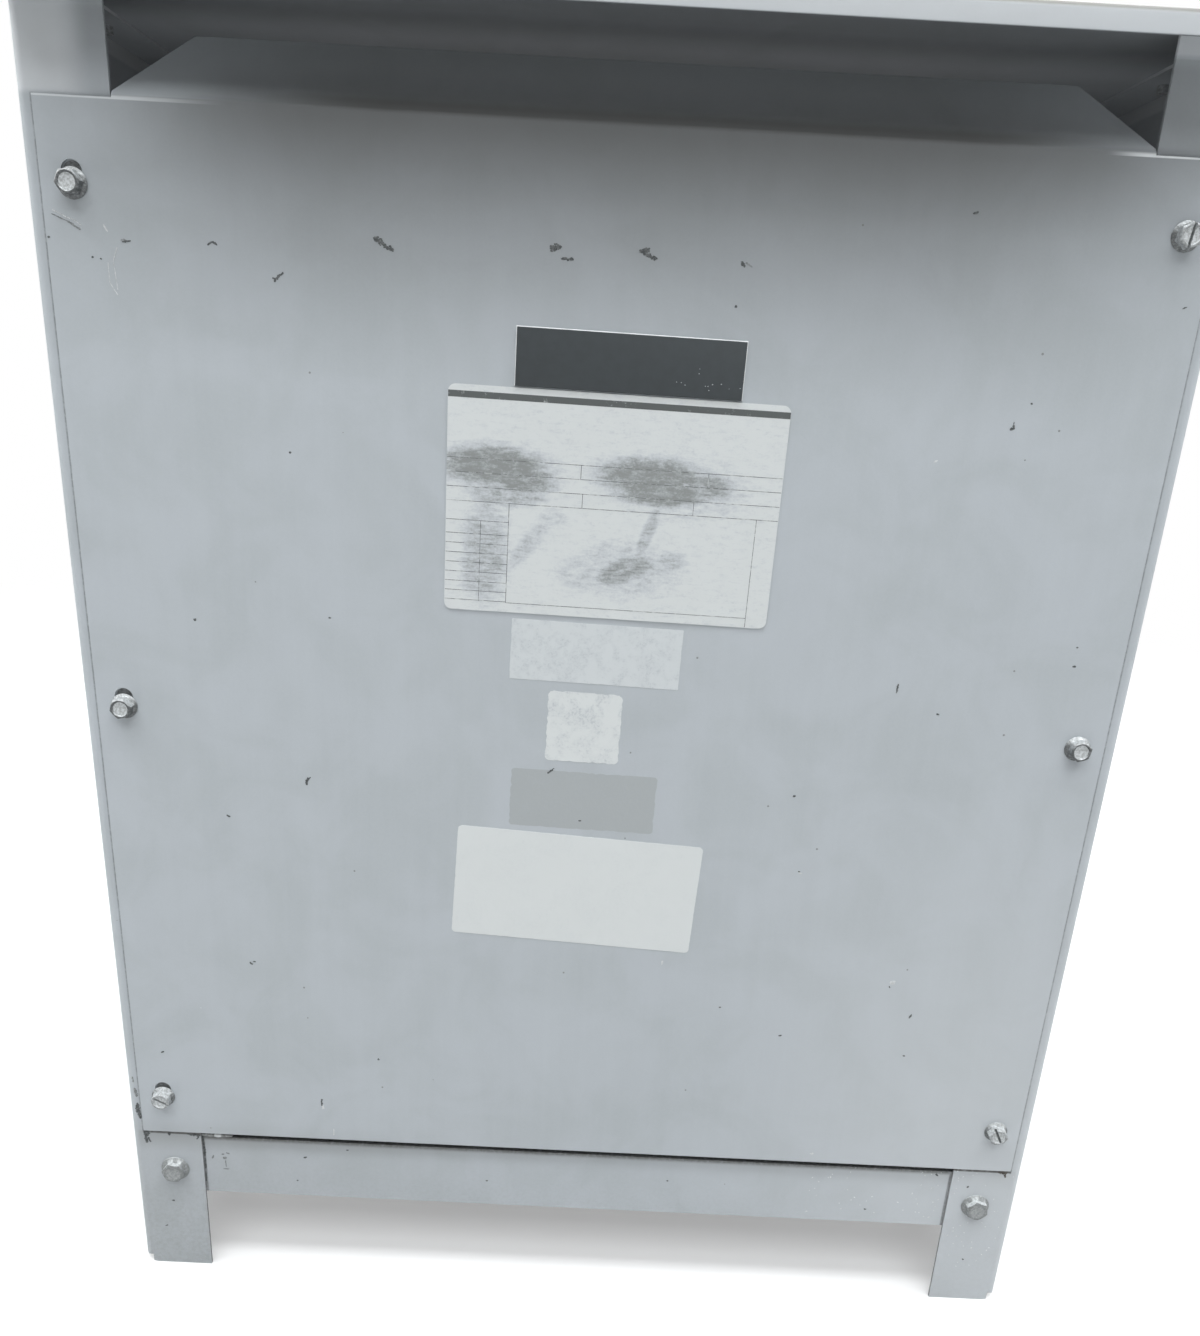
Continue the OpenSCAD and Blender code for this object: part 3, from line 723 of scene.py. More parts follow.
class Shape:
    """Closed solids gathered into one mesh."""

    def __init__(self, start: bpy.types.Mesh | None = None) -> None:
        """Start with nothing, or with a copy of a mesh.

        Args:
            start: The mesh.
        """
        self.mesh = bmesh.new()
        if start is not None:
            self.mesh.from_mesh(start)

    def loft(self, rings: Sequence[Sequence[Vector]], material: int = 0) -> None:
        """Join rings of points into a tube with both ends closed.

        Args:
            rings: The rings, each with the same number of points.
            material: Index of the material.
        """
        made = [[self.mesh.verts.new(point) for point in points] for points in rings]
        faces = [self.mesh.faces.new(reversed(made[0])), self.mesh.faces.new(made[-1])]
        for lower, upper in zip(made, made[1:]):
            faces += self.band(lower, upper)
        for face in faces:
            face.material_index = material

    def band(self, lower: Sequence[bmesh.types.BMVert], upper: Sequence[bmesh.types.BMVert]) -> list[Any]:
        """Return the faces between two rings of corners."""
        after = [(index + 1) % len(lower) for index in range(len(lower))]
        return [self.mesh.faces.new((lower[i], lower[j], upper[j], upper[i])) for i, j in enumerate(after)]

    def sleeve(self, rings: Sequence[Sequence[Vector]]) -> None:
        """Join rings of points one after another, and the last to the first.

        Args:
            rings: The rings, each with the same number of points.
        """
        made = [[self.mesh.verts.new(point) for point in points] for points in rings]
        for lower, upper in zip(made, made[1:] + made[:1]):
            self.band(lower, upper)

    def prism(self, outline: Sequence[Point], low: float, high: float, place: Matrix = Matrix(),
              material: int = 0) -> None:
        """Run an outline, anticlockwise seen from its own +Z, from one height to another."""
        self.loft([[place @ Vector((x, y, z)) for x, y in outline] for z in (low, high)], material)

    def box(self, low: Sequence[float], high: Sequence[float]) -> None:
        """Add a block between its lowest and its highest corner."""
        self.prism(rectangle(low[0], high[0], low[1], high[1]), low[2], high[2])

    def turned(self, profile: Sequence[Point], sides: int = 32, place: Matrix = Matrix()) -> None:
        """Turn a profile about Z, closed where it starts and ends off the axis.

        Args:
            profile: Its (radius, height) points, going up.
            sides: Number of sides.
            place: Where it stands.
        """
        angles = (2 * math.pi * side / sides for side in range(sides))
        turns = [(math.cos(angle), math.sin(angle)) for angle in angles]
        self.loft([[place @ Vector((radius * x, radius * y, z)) for x, y in turns] for radius, z in profile])

    def merge(self, flat: float) -> None:
        """Merge corners that meet, and faces that lie within an angle in degrees of each other."""
        bmesh.ops.remove_doubles(self.mesh, verts=self.mesh.verts, dist=1e-6)
        bmesh.ops.dissolve_limit(self.mesh, angle_limit=math.radians(flat), verts=self.mesh.verts,
                                 edges=self.mesh.edges)

    def outward(self) -> None:
        """Turn all faces outwards."""
        bmesh.ops.recalc_face_normals(self.mesh, faces=self.mesh.faces)

    def soften(self, width: float, segments: int = 2, sharp: float = 35.0) -> None:
        """Break the sharp edges and mark the broken faces as open to wear.

        Args:
            width: Width of the broken edge.
            segments: Faces across it.
            sharp: Angle in degrees above which an edge is sharp.
        """
        layer = self.mesh.faces.layers.float.new(WEAR)
        limit = math.radians(sharp)
        edges = [edge for edge in self.mesh.edges if edge.is_manifold and edge.calc_face_angle() > limit]
        made = bmesh.ops.bevel(self.mesh, geom=edges, offset=width, segments=segments, profile=0.5,
                               affect="EDGES", clamp_overlap=True)
        for face in made["faces"]:
            face[layer] = 1.0

    def piece(self, name: str, *finishes: Finish, smooth: float = 40.0,
              flat: bool = False) -> bpy.types.Object:
        """Turn the solids into an object.

        Args:
            name: The piece's name.
            *finishes: Its finishes, in the order of their indexes.
            smooth: Angle in degrees up to which its shading is smooth.
            flat: Whether its large faces are shaded flat up to their broken edges.

        Returns:
            The object.
        """
        mesh = bpy.data.meshes.new(name)
        self.mesh.to_mesh(mesh)
        self.mesh.free()
        made = standing(name, mesh, finishes, smooth)
        if flat:
            made.modifiers.new("Flat faces", "WEIGHTED_NORMAL").keep_sharp = True
        return made


def linked(name: str, data: Any) -> bpy.types.Object:
    """Put an object in the scene.

    Args:
        name: Its name.
        data: Its mesh, lamp or camera.

    Returns:
        The object.
    """
    made = bpy.data.objects.new(name, data)
    bpy.context.scene.collection.objects.link(made)
    return made


def standing(name: str, mesh: bpy.types.Mesh, finishes: Sequence[Finish],
             smooth: float = 40.0) -> bpy.types.Object:
    """Put a mesh in the scene as an object with its finishes.

    Args:
        name: The piece's name.
        mesh: Its mesh, in place.
        finishes: Its finishes.
        smooth: Angle in degrees up to which its shading is smooth.

    Returns:
        The object, at the origin.
    """
    mesh.shade_smooth()
    mesh.set_sharp_from_angle(angle=math.radians(smooth))
    held = [min(face.material_index, len(finishes) - 1) for face in mesh.polygons]
    mesh.materials.clear()
    for finish in finishes:
        mesh.materials.append(finish.material())
    mesh.polygons.foreach_set("material_index", held)
    return linked(name, mesh)


def evaluated(piece: bpy.types.Object) -> bpy.types.Mesh:
    """Return a plain mesh of an object with its modifiers applied, and take the object away.

    Args:
        piece: The object.

    Returns:
        The mesh.
    """
    graph = bpy.context.evaluated_depsgraph_get()
    mesh = bpy.data.meshes.new_from_object(piece.evaluated_get(graph), depsgraph=graph)
    bpy.data.objects.remove(piece)
    return mesh


def settle(piece: bpy.types.Object, slot: Slot, *nodes: str) -> None:
    """Ride a finished piece on the enclosure and say what it stands for.

    Args:
        piece: The piece.
        slot: The slot that its finish comes from.
        *nodes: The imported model's nodes that it stands for.
    """
    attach(piece, BODY)
    if nodes:
        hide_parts(*nodes)
    log.info("%s: %d faces, slot %s", piece.name, len(piece.data.polygons), slot.value)


# ---- Geometry Nodes ----


class GrowthTree(Graph):
    """A Geometry Nodes tree with named inputs, which turns base meshes into repeated shapes."""

    def __init__(self, name: str) -> None:
        """Start a tree with a geometry input, a finish input and a geometry output.

        Args:
            name: The tree's name.
        """
        super().__init__(bpy.data.node_groups.new(name, "GeometryNodeTree"))
        self.tree.interface.new_socket("Grown", in_out="OUTPUT", socket_type="NodeSocketGeometry")
        self.start = self.tree.nodes.new("NodeGroupInput")
        self.end = self.tree.nodes.new("NodeGroupOutput")
        self.base, self.finish = self.size("Base", "Geometry"), self.size("Finish", "Material")

    def size(self, name: str, kind: str = "Float") -> Socket:
        """Return a new named input of a kind."""
        self.tree.interface.new_socket(name, in_out="INPUT", socket_type="NodeSocket" + kind)
        return self.start.outputs[name]

    def made(self, kind: str, *values: Any, **feeds: Any) -> Socket:
        """Return the first output of a new Geometry Nodes node."""
        return self.node("GeometryNode" + kind, None, *values, **feeds).outputs[0]

    def read(self, name: str, kind: str) -> Socket:
        """Return a named attribute of the base, of a data type."""
        made = self.node("GeometryNodeInputNamedAttribute", {"data_type": kind}, name)
        return next(socket for socket in made.outputs if socket.enabled and socket.name == "Attribute")

    def scatter(self, low: Triple, high: Triple, seed: int) -> Socket:
        """Return a random vector between two, of a fixed seed."""
        vectors = {"data_type": "FLOAT_VECTOR"}
        return self.node("FunctionNodeRandomValue", vectors, low, high, Seed=seed).outputs[0]

    def close(self, geometry: Socket) -> None:
        """End the tree in Realize Instances and Set Material."""
        ended = self.made("SetMaterial", self.made("RealizeInstances", geometry), Material=self.finish)
        self.feed(self.end.inputs[0], ended)

    def grow(self, name: str, base: bpy.types.Mesh, finish: Finish, smooth: float = 40.0,
             **sizes: Any) -> bpy.types.Object:
        """Run the tree over a base mesh.

        Args:
            name: Name of the piece.
            base: The base mesh.
            finish: The piece's finish.
            smooth: Angle in degrees up to which its shading is smooth.
            **sizes: The named inputs' values, with underscores for spaces.

        Returns:
            The piece, a plain mesh at the origin.
        """
        seed = linked(name + "_base", base)
        modifier = seed.modifiers.new("Growth", "NODES")
        modifier.node_group = self.tree
        sizes["Finish"] = finish.material()
        for item in self.tree.interface.items_tree:
            key = item.name.replace(" ", "_")
            if item.item_type == "SOCKET" and item.in_out == "INPUT" and key in sizes:
                modifier[item.identifier] = sizes[key]
        return standing(name, evaluated(seed), [finish], smooth)


def points_mesh(name: str, places: Sequence[Vector], **attributes: Sequence[Any]) -> bpy.types.Mesh:
    """Return a mesh of loose points with an attribute for each list of values.

    Args:
        name: Its name.
        places: The points.
        **attributes: Each attribute's values, one to a point: vectors, whole numbers or numbers.

    Returns:
        The mesh.
    """
    mesh = bpy.data.meshes.new(name)
    mesh.from_pydata([tuple(place) for place in places], [], [])
    kinds = {Vector: "FLOAT_VECTOR", int: "INT", float: "FLOAT"}
    for key, values in attributes.items():
        layer = mesh.attributes.new(key, kinds[type(values[0])], "POINT")
        if isinstance(values[0], Vector):
            layer.data.foreach_set("vector", [part for value in values for part in value])
        else:
            layer.data.foreach_set("value", values)
    return mesh


# ---- Screws ----


@dataclass(frozen=True)
class ScrewPlace:
    """Where a screw sits: the point under its flange, the way it faces, its turn in degrees and its kind."""

    point: Vector
    facing: Vector
    turn: float = 0.0
    head: Head = Head.PLAIN


@dataclass
class HexScrews:
    """Hexagon screws with a flange, an indented top and, on some, a slot."""

    finish: Finish
    flange_d: float = 14.6 * MM
    flange_h: float = 1.7 * MM
    across: float = 10.8 * MM
    head_h: float = 4.3 * MM
    dish_d: float = 9.0 * MM
    dish_h: float = 0.6 * MM
    slot_w: float = 1.5 * MM
    slot_h: float = 1.9 * MM
    shank_d: float = 6.0 * MM
    shank_l: float = 7.0 * MM
    # Shares of dirt and painted shade on a head's dished face and round its top
    face_dirt_and_shade: float = 0.0
    rim_dirt_and_shade: float = 0.95

    def __post_init__(self) -> None:
        """Work out the top's height and the hexagon's corner radius, and make the tree."""
        self.top, self.corner = self.flange_h + self.head_h, self.across / math.sqrt(3)
        self.tree = self.screw_tree()

    def head_solid(self, head: Head) -> bpy.types.Object:
        """Cut one screw about the origin, pointing up.

        Args:
            head: Its kind.

        Returns:
            The screw.
        """
        name, top, corner, rim = "screw_" + head.name.lower(), self.top, self.corner, self.flange_d / 2
        hexagon, chamfer, flange, dish, slot = (Shape() for _ in range(5))
        turns = [math.radians(60 * side) for side in range(6)]
        hexagon.prism([(corner * math.cos(turn), corner * math.sin(turn)) for turn in turns],
                      0.4 * self.flange_h, top)
        chamfer.turned([(1.25 * corner, -MM), (1.25 * corner, top - 1.5 * MM),
                        (0.46 * self.across, top + 0.02 * MM)])
        flange.turned([(self.shank_d / 2, -self.shank_l), (self.shank_d / 2, 0.1 * MM)], 24)
        flange.turned([(rim - 0.3 * MM, 0), (rim, 0.25 * MM), (rim, 0.45 * MM), (rim - 0.35 * MM, 0.65 * MM),
                       (0.52 * self.across, self.flange_h)], 40)
        dish.turned([(0.44 * self.dish_d, top - self.dish_h), (0.5 * self.dish_d, top + 0.1 * MM)], 28)
        slot.box((-2 * corner, -self.slot_w / 2, top - self.slot_h), (2 * corner, self.slot_w / 2, top + MM))
        steps = [("INTERSECT", chamfer), ("UNION", flange), ("DIFFERENCE", dish), ("DIFFERENCE", slot)]
        screw = hexagon.piece(name, self.finish)
        for operation, shape in steps[:4 if head is Head.SLOTTED else 3]:
            tool = shape.piece("tool", self.finish)
            cut = screw.modifiers.new(operation, "BOOLEAN")
            cut.operation, cut.object, cut.solver = operation, tool, "EXACT"
            screw = standing(name, evaluated(screw), [self.finish])
            bpy.data.objects.remove(tool)
        softened = Shape(screw.data)
        bpy.data.objects.remove(screw)
        softened.merge(1.0)
        softened.soften(0.16 * MM, 1, 28.0)
        # Each face gets its share of dirt and painted shade, which the zinc finish reads
        grime = softened.mesh.faces.layers.float.new(DIRT_AND_SHADE)
        for face in softened.mesh.faces:
            face[grime] = self.dirt_and_shade_on(face.calc_center_median(), 0.4 if head is Head.SLOTTED else 1.0)
        return softened.piece(name, self.finish, smooth=32.0)

    def dirt_and_shade_on(self, spot: Vector, kept: float) -> float:
        """Return how much dirt and painted shade a head gets at a spot: most under its flange, down its sides
        and in its slot.

        Args:
            spot: The middle of a face.
            kept: The share of the dirt and painted shade that a head keeps on its sides and top; slotted
                heads keep less.

        Returns:
            The share of dirt and painted shade, from 0 to 1.
        """
        if spot.z < 0:
            return 0.15
        if spot.z < 1.1 * self.flange_h:
            return 0.9
        if math.hypot(spot.x, spot.y) > 0.45 * self.across:
            return 0.95 * kept
        if spot.z > self.top - 0.7 * self.dish_h:
            return self.rim_dirt_and_shade * kept
        return 0.9 if spot.z < self.top - 1.5 * self.dish_h else self.face_dirt_and_shade

    def screw_tree(self) -> GrowthTree:
        """Set a screw on each point, facing and turned as the point says.

        Returns:
            The tree.
        """
        tree = GrowthTree("hex screws")
        plain, slotted = (tree.size(head.name.title() + " head", "Object") for head in Head)
        scale = tree.size("Scale")
        heads = tree.tree.nodes.new("GeometryNodeGeometryToInstance")
        for source in (slotted, plain):
            info = tree.node("GeometryNodeObjectInfo", Object=source)
            tree.feed(heads.inputs[0], info.outputs["Geometry"])
        facing = tree.node("FunctionNodeAlignRotationToVector", {"axis": "Z"},
                           Vector=tree.read("facing", "FLOAT_VECTOR"))
        turned = tree.node("FunctionNodeAxisAngleToRotation", None, (0, 0, 1), tree.read("turn", "FLOAT"))
        both = tree.node("FunctionNodeRotateRotation", {"rotation_space": "LOCAL"}, facing.outputs[0],
                         turned.outputs[0])
        tree.close(tree.made("InstanceOnPoints", tree.base, Instance=heads.outputs[0], Pick_Instance=True,
                             Instance_Index=tree.read("kind", "INT"), Rotation=both.outputs[0], Scale=scale))
        return tree

    def build(self, name: str, places: Sequence[ScrewPlace], scale: float = 1.0) -> None:
        """Set screws in their places as one piece.

        Args:
            name: The piece's name.
            places: Where they sit.
            scale: Their size against the panel screws.
        """
        heads = {head.name.title() + "_head": self.head_solid(head) for head in Head}
        base = points_mesh(name, [place.point for place in places],
                           facing=[place.facing for place in places],
                           turn=[math.radians(place.turn) for place in places],
                           kind=[place.head.value for place in places])
        settle(self.tree.grow(name, base, self.finish, 32.0, Scale=scale, **heads), self.finish.slot)
        for head in heads.values():
            bpy.data.objects.remove(head)


# ---- Enclosure ----


@dataclass
class SheetPart:
    """A cut and bent part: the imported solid's own shape with its edges broken and its finish on."""

    node: str
    finish: Finish
    edge: float = 0.3 * MM

    def build(self) -> None:
        """Copy the solid, merge it and break its edges."""
        shape = Shape(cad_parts[self.node].data)
        shape.merge(0.5)
        shape.soften(self.edge)
        settle(shape.piece(self.node + "_dressed", self.finish, flat=True), self.finish.slot, self.node)


@dataclass
class CoverPan:
    """Shallow pan over the enclosure, its upper edge rolled over and its inside open below."""

    sheet: float = 1.5 * MM
    corner: float = 4 * MM
    roll: float = 3 * MM
    least: float = 0.8 * MM
    steps: int = 5

    def bend(self, radius: float, inset: float, top: float) -> list[Point]:
        """Return the insets and heights of the rings round a bend, from the top down."""
        angles = [math.radians(90 * step / self.steps) for step in range(self.steps + 1)]
        return [(inset + radius * (1 - math.sin(angle)), top - radius * (1 - math.cos(angle)))
                for angle in angles]

    def build(self) -> None:
        """Loft the outside down from the top, and the inside up again."""
        low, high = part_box("top_cover")
        size, edge, under = high - low, 0.35 * self.sheet, high.z - self.sheet
        inner = self.bend(self.roll - self.sheet, self.sheet, under)
        profile = [(4 * self.roll, high.z), *self.bend(self.roll, 0, high.z), (0, low.z + edge),
                   (edge, low.z), (self.sheet - edge, low.z), (self.sheet, low.z + edge),
                   *reversed(inner), (4 * self.roll, under)]
        shape = Shape()
        shape.loft([ring(size.x - 2 * inset, size.y - 2 * inset, max(self.corner - inset, self.least), z)
                    for inset, z in profile])
        shape.outward()
        settle(shape.piece("top_cover_pan", ENAMEL, smooth=50.0, flat=True), Slot.PAINT, "top_cover")


@dataclass
class EnclosureScrews:
    """The screws of the panels, the feet and the cover."""

    panel_x: float = 268.5 * MM
    foot_x: float = 266 * MM
    foot_z: float = 81 * MM
    low: float = 30 * MM
    high_drop: float = 36 * MM
    stagger: float = 3.5 * MM
    cover_x: float = 282 * MM
    cover_y: float = 150 * MM
    slot_w: float = 8.6 * MM
    slot_l: float = 14.8 * MM
    slot_up: float = 2.75 * MM

    def panel_places(self) -> list[ScrewPlace]:
        """Place the panel screws in a column at each side of both panels.

        Returns:
            Their places, from the front's left column on.
        """
        low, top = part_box("front_panel")[0], VENT * MM
        heights = [low.z + self.low, (low.z + self.low + top - self.high_drop) / 2, top - self.high_drop]
        heads = {-1: ((Head.SLOTTED, -28), (Head.PLAIN, 12), (Head.PLAIN, 5)),
                 1: ((Head.SLOTTED, -64), (Head.PLAIN, 20), (Head.SLOTTED, 83))}
        return [ScrewPlace(Vector((-way * side * self.panel_x, -way * low.y,
                                   height + side * self.stagger / 2)),
                           -way * OUT, turn if way < 0 else turn + 31 * level, head)
                for way in (-1, 1) for side in (-1, 1)
                for level, (height, (head, turn)) in enumerate(zip(heights, heads[side]))]

    def build(self) -> None:
        """Set them on the front and the back, and on the cover, with painted shade and dirt in the slots
        behind them.
        """
        face = -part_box("left_side_sheet")[0].y
        panels = self.panel_places()
        # A thin dark sheet on the flange behind each slot: painted shade and dirt in the recess
        shaded = Shape()
        for place in panels:
            if place.point.x * place.facing.y > 0:
                behind = Matrix.Translation((place.point.x, place.facing.y * face,
                                             place.point.z + self.slot_up))
                shaded.prism(rounded_rectangle(self.slot_w, self.slot_l, 0.49 * self.slot_w, 8), 0,
                             0.05 * MM, behind @ (FACING_FRONT if place.facing.y < 0 else FACING_BACK))
        settle(shaded.piece("slot_shading", SLOT_GRIME_AND_SHADE), Slot.PAINT)
        screws = HexScrews(ZINC)
        screws.build("panel_screws", panels)
        feet = [ScrewPlace(Vector((side * self.foot_x, way * face, self.foot_z)), -way * OUT, 17 + 23 * side)
                for side in (-1, 1) for way in (-1, 1)]
        HexScrews(FOOT_ZINC, flange_d=18.4 * MM, flange_h=2.2 * MM, across=13.0 * MM, head_h=3.0 * MM,
                  dish_d=10.6 * MM, dish_h=0.3 * MM, face_dirt_and_shade=0.7, rim_dirt_and_shade=0.9).build("foot_screws", feet)
        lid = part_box("top_cover")[1].z
        covers = [ScrewPlace(Vector((side * self.cover_x, way * self.cover_y, lid)), UP,
                             11 + 19 * side + 7 * way) for side in (-1, 1) for way in (-1, 1)]
        screws.build("cover_screws", covers)


# ---- Plates, stickers and marks ----


def on_panel(x: float, z: float, turn: float) -> Matrix:
    """Return where a flat drawing stands over the front panel's lower edge, turned clockwise in degrees."""
    low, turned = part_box("front_panel")[0], Matrix.Rotation(-math.radians(turn), 4, "Z")
    return Matrix.Translation((x, low.y, low.z + z)) @ FACING_FRONT @ turned


def front(node: str) -> float:
    """Return the Y of a node's foremost face."""
    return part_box(node)[0].y


@dataclass
class Nameplate:
    """Foil plate with a dark band and a ruled table, and nothing written on it."""

    width: float = 175 * MM
    height: float = 117.5 * MM
    corner: float = 4 * MM
    turn: float = 0.8
    x: float = -1.0 * MM
    z: float = 418.5 * MM
    rule_w: float = 0.3
    margin: float = 0.3
    ink: float = 0.03 * MM
    # The rules' places in millimetres from the plate's left and upper edges
    band: Point = (3.2, 6.5)
    lines: tuple[float, ...] = (36.6, 43.9, 51.4, 58.8)
    rows: tuple[float, ...] = (68.8, *(75.9 + 5.14 * row for row in range(8)))
    table_w: float = 33.2
    side_x: float = 163.5
    foot_y: float = 112.3

    def build(self) -> None:
        """Build the plate, and its band and rules as thin ink on its face."""
        sheet = front("front_panel") - front("nameplate")
        foil = PlateFoil("plate_foil", Slot.PLATE, shade(209, 213, 213), 0.42, smudges=RUBBED,
                         middle=(self.x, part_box("front_panel")[0].z + self.z), turn=math.radians(self.turn))
        place = on_panel(self.x, self.z, self.turn)
        plate, ink = Shape(), Shape()
        plate.prism(rounded_rectangle(self.width, self.height, self.corner, 8), 0, sheet, place)
        plate.soften(0.15 * MM)
        settle(plate.piece("nameplate_foil", foil), Slot.PLATE, "nameplate")
        wide, tall, line = self.width / MM, self.height / MM, self.rule_w / 2
        first, last, table, side, foot = (*self.lines[::3], self.table_w, self.side_x, self.foot_y)
        across = [(self.margin, wide - self.margin, y) for y in self.lines]
        across += [(self.margin, table, y) for y in self.rows] + [(table, side, foot)]
        down = [(69.9, first, self.lines[1]), (136.2, first, self.lines[1]), (71.4, self.lines[2], last),
                (129.8, self.lines[2], last), (table, last, foot), (18.5, self.rows[0], foot),
                (side, last, tall - self.margin)]
        bars = [(0.1, wide - 0.1, *self.band, 0)]
        bars += [(left, right, y - line, y + line, 1) for left, right, y in across]
        bars += [(x - line, x + line, top, bottom, 1) for x, top, bottom in down]
        for left, right, top, bottom, material in bars:
            left, right = (x * MM - self.width / 2 for x in (left, right))
            top, bottom = (self.height / 2 - y * MM for y in (top, bottom))
            ink.prism(rectangle(left, right, bottom, top), sheet - self.ink, sheet + self.ink, place,
                      material)
        settle(ink.piece("nameplate_rules", BAND_INK, RULE_INK), Slot.PLATE)


@dataclass
class EngravedTag:
    """Bare two-layer plastic tag: a black face over a pale core that shows round the top and sides of its
    bevelled edge.
    """

    width: float = 116 * MM
    height: float = 29 * MM
    x: float = 4 * MM
    z: float = 492.4 * MM
    turn: float = 0.8
    corner: float = 0.3 * MM
    skin: float = 0.25 * MM
    bevel: float = 0.45 * MM

    def build(self) -> None:
        """Loft the core up to the bevel, and the black face above it."""
        thick = front("front_panel") - front("engraved_tag")
        place = on_panel(self.x, self.z, self.turn)
        bevelled = (self.bevel, thick - self.skin)
        tag = Shape()
        for profile, material in ((((0, 0), (0, thick - self.bevel - self.skin), bevelled), 1),
                                  ((bevelled, (self.bevel + 0.1 * MM, thick - 0.05 * MM),
                                    (self.bevel + 0.25 * MM, thick)), 0)):
            tag.loft([ring(self.width - 2 * inset, self.height - 2 * inset, self.corner, height, 3, place)
                      for inset, height in profile], material)
        # The bevel's faces that look down take the black face's finish, so the pale core shows along the top
        # and sides
        tag.mesh.normal_update()
        for face in tag.mesh.faces:
            if face.normal.z < -0.5:
                face.material_index = 0
        settle(tag.piece("engraved_tag_plate", TAG_FACE, TAG_CORE, smooth=30.0), Slot.TAG, "engraved_tag")


@dataclass
class Sticker:
    """A thin bare film on the front panel, its sizes and its place in millimetres."""

    name: str
    finish: Finish
    width: float
    height: float
    x: float
    z: float
    turn: float
    corner: float
    seed: int
    thick: float = 0.12
    ragged: float = 0.25
    step: float = 2.2

    def build(self) -> None:
        """Cut the film with a slightly worn outline."""
        chance = random.Random(self.seed)
        outline = []
        corners = rounded_rectangle(self.width * MM, self.height * MM, self.corner * MM, 5)
        for (x0, y0), (x1, y1) in zip(corners, corners[1:] + corners[:1]):
            steps = max(1, round(math.hypot(x1 - x0, y1 - y0) / (self.step * MM)))
            for part in (step / steps for step in range(steps)):
                worn = chance.random() ** 3 * self.ragged * MM
                x, y = x0 + (x1 - x0) * part, y0 + (y1 - y0) * part
                pull = 1 - worn / math.hypot(x, y)
                outline.append((x * pull, y * pull))
        film = Shape()
        film.prism(outline, 0, self.thick * MM, on_panel(self.x * MM, self.z * MM, self.turn))
        settle(film.piece(self.name, self.finish), self.finish.slot)


# A small mark: its place, length and width in millimetres, and its turn in degrees where it has one
Fleck = tuple[float, float, float, float] | tuple[float, float, float, float, float]

DARK_FLECKS: tuple[Fleck, ...] = (
    (-244.8, 536.7, 4.7, 1.0, 8), (-204.3, 537.8, 2.6, 1.1, 29), (-201.8, 537.9, 3.0, 1.1, -29),
    (-122, 543, 5.6, 3.1, -26), (-117.3, 540.3, 6.1, 2.3, -28), (-35.7, 544.3, 6.0, 3.6, 14),
    (-29.7, 539.6, 6.4, 1.6, -3), (7.7, 545, 5.4, 3.2, 12), (11.5, 542.4, 5.8, 2.3, -18),
    (56.2, 541.6, 3.3, 1.8, -53), (-171.4, 524.3, 6.4, 1.4, 43), (-173.2, 523.3, 3, 0.7, -6),
    (-27.8, 268.5, 5.1, 1.1, 40), (165.7, 570.1, 2.4, 1.3, 19), (201.1, 471, 2.1, 2.8, -4),
    (201.3, 473.5, 1.7, 0.5, 92), (-167.7, 254.1, 4.8, 2.1, -99), (-166.5, 255.9, 2.7, 0.8, 48),
    (162.3, 329, 4.4, 1.1, -96), (185, 136, 1.5, 0.7, -68), (200.7, 115.6, 3.4, 1.3, 70),
    (-166.9, 29, 5.5, 1.3, -93), (-282.6, 536.7, 1, 0.8), (-262.3, 528.6, 1, 0.7), (-258.3, 528.1, 1, 0.7),
    (275.3, 532.6, 2.5, 0.7, 25), (208.5, 483.5, 1.0, 0.9), (-214.5, 229.6, 2.4, 1.1, -20),
    (-225.5, 347, 1.5, 1.7), (-10, 237.8, 1.5, 1.1), (257.4, 346.2, 1.4, 1.2), (257, 357, 1.0, 0.8),
    (187, 314.4, 1.7, 1.1, -20), (112.5, 260.2, 1.4, 1.2), (121.8, 97, 1.8, 1.1, 20), (201, 86.4, 1.3, 1.0),
    (82.6, 115.6, 1.2, 1.0), (-129.8, 64.4, 1.3, 1.7), (-206.5, 130.5, 2.4, 1.1, -40),
    (-204.5, 132, 1.6, 0.9), (-266.5, 62.2, 1.9, 1.2, 40), (-169.5, 439.5, 1.1, 1.0),
    (-151.5, 352, 1.2, 1.1), (54.5, 522, 1.3, 1.1), (120.8, 212, 1.3, 0.8),
)
FAINT_FLECKS: tuple[Fleck, ...] = (
    (59.3, 541.4, 4.1, 0.9, -27), (-276.6, 545.8, 8, 0.65, -22), (-270, 542.6, 7.5, 0.95, -31),
    (-246.5, 537.2, 2.5, 0.9, 8), (162.3, 326.5, 2.0, 0.8, -96),
)
PALE_CHIPS: tuple[Fleck, ...] = (
    (164.5, 452.5, 2.3, 1.0, 30), (121.4, 211, 2.5, 1.0, -10), (186.3, 139.1, 3.4, 3.2, 9),
    (-166.2, 25.3, 2.8, 1.9, -92), (-159.8, 6, 5.5, 0.9, 90), (44.4, 145.4, 2.8, 1.2, 90),
    (152, 7, 2.4, 1.4), (-251.1, 530.3, 7.4, 0.35, -111), (-254.9, 521.9, 9.6, 0.35, -90),
    (-253.1, 514.4, 6.4, 0.35, -58),
    (-251.7, 520.5, 12.8, 0.3, -86), (-254.6, 542.1, 3.6, 0.9, -60), (-275.4, 547.2, 9.0, 0.6, -24),
    (-268.4, 544.2, 6.0, 0.45, -32),
)
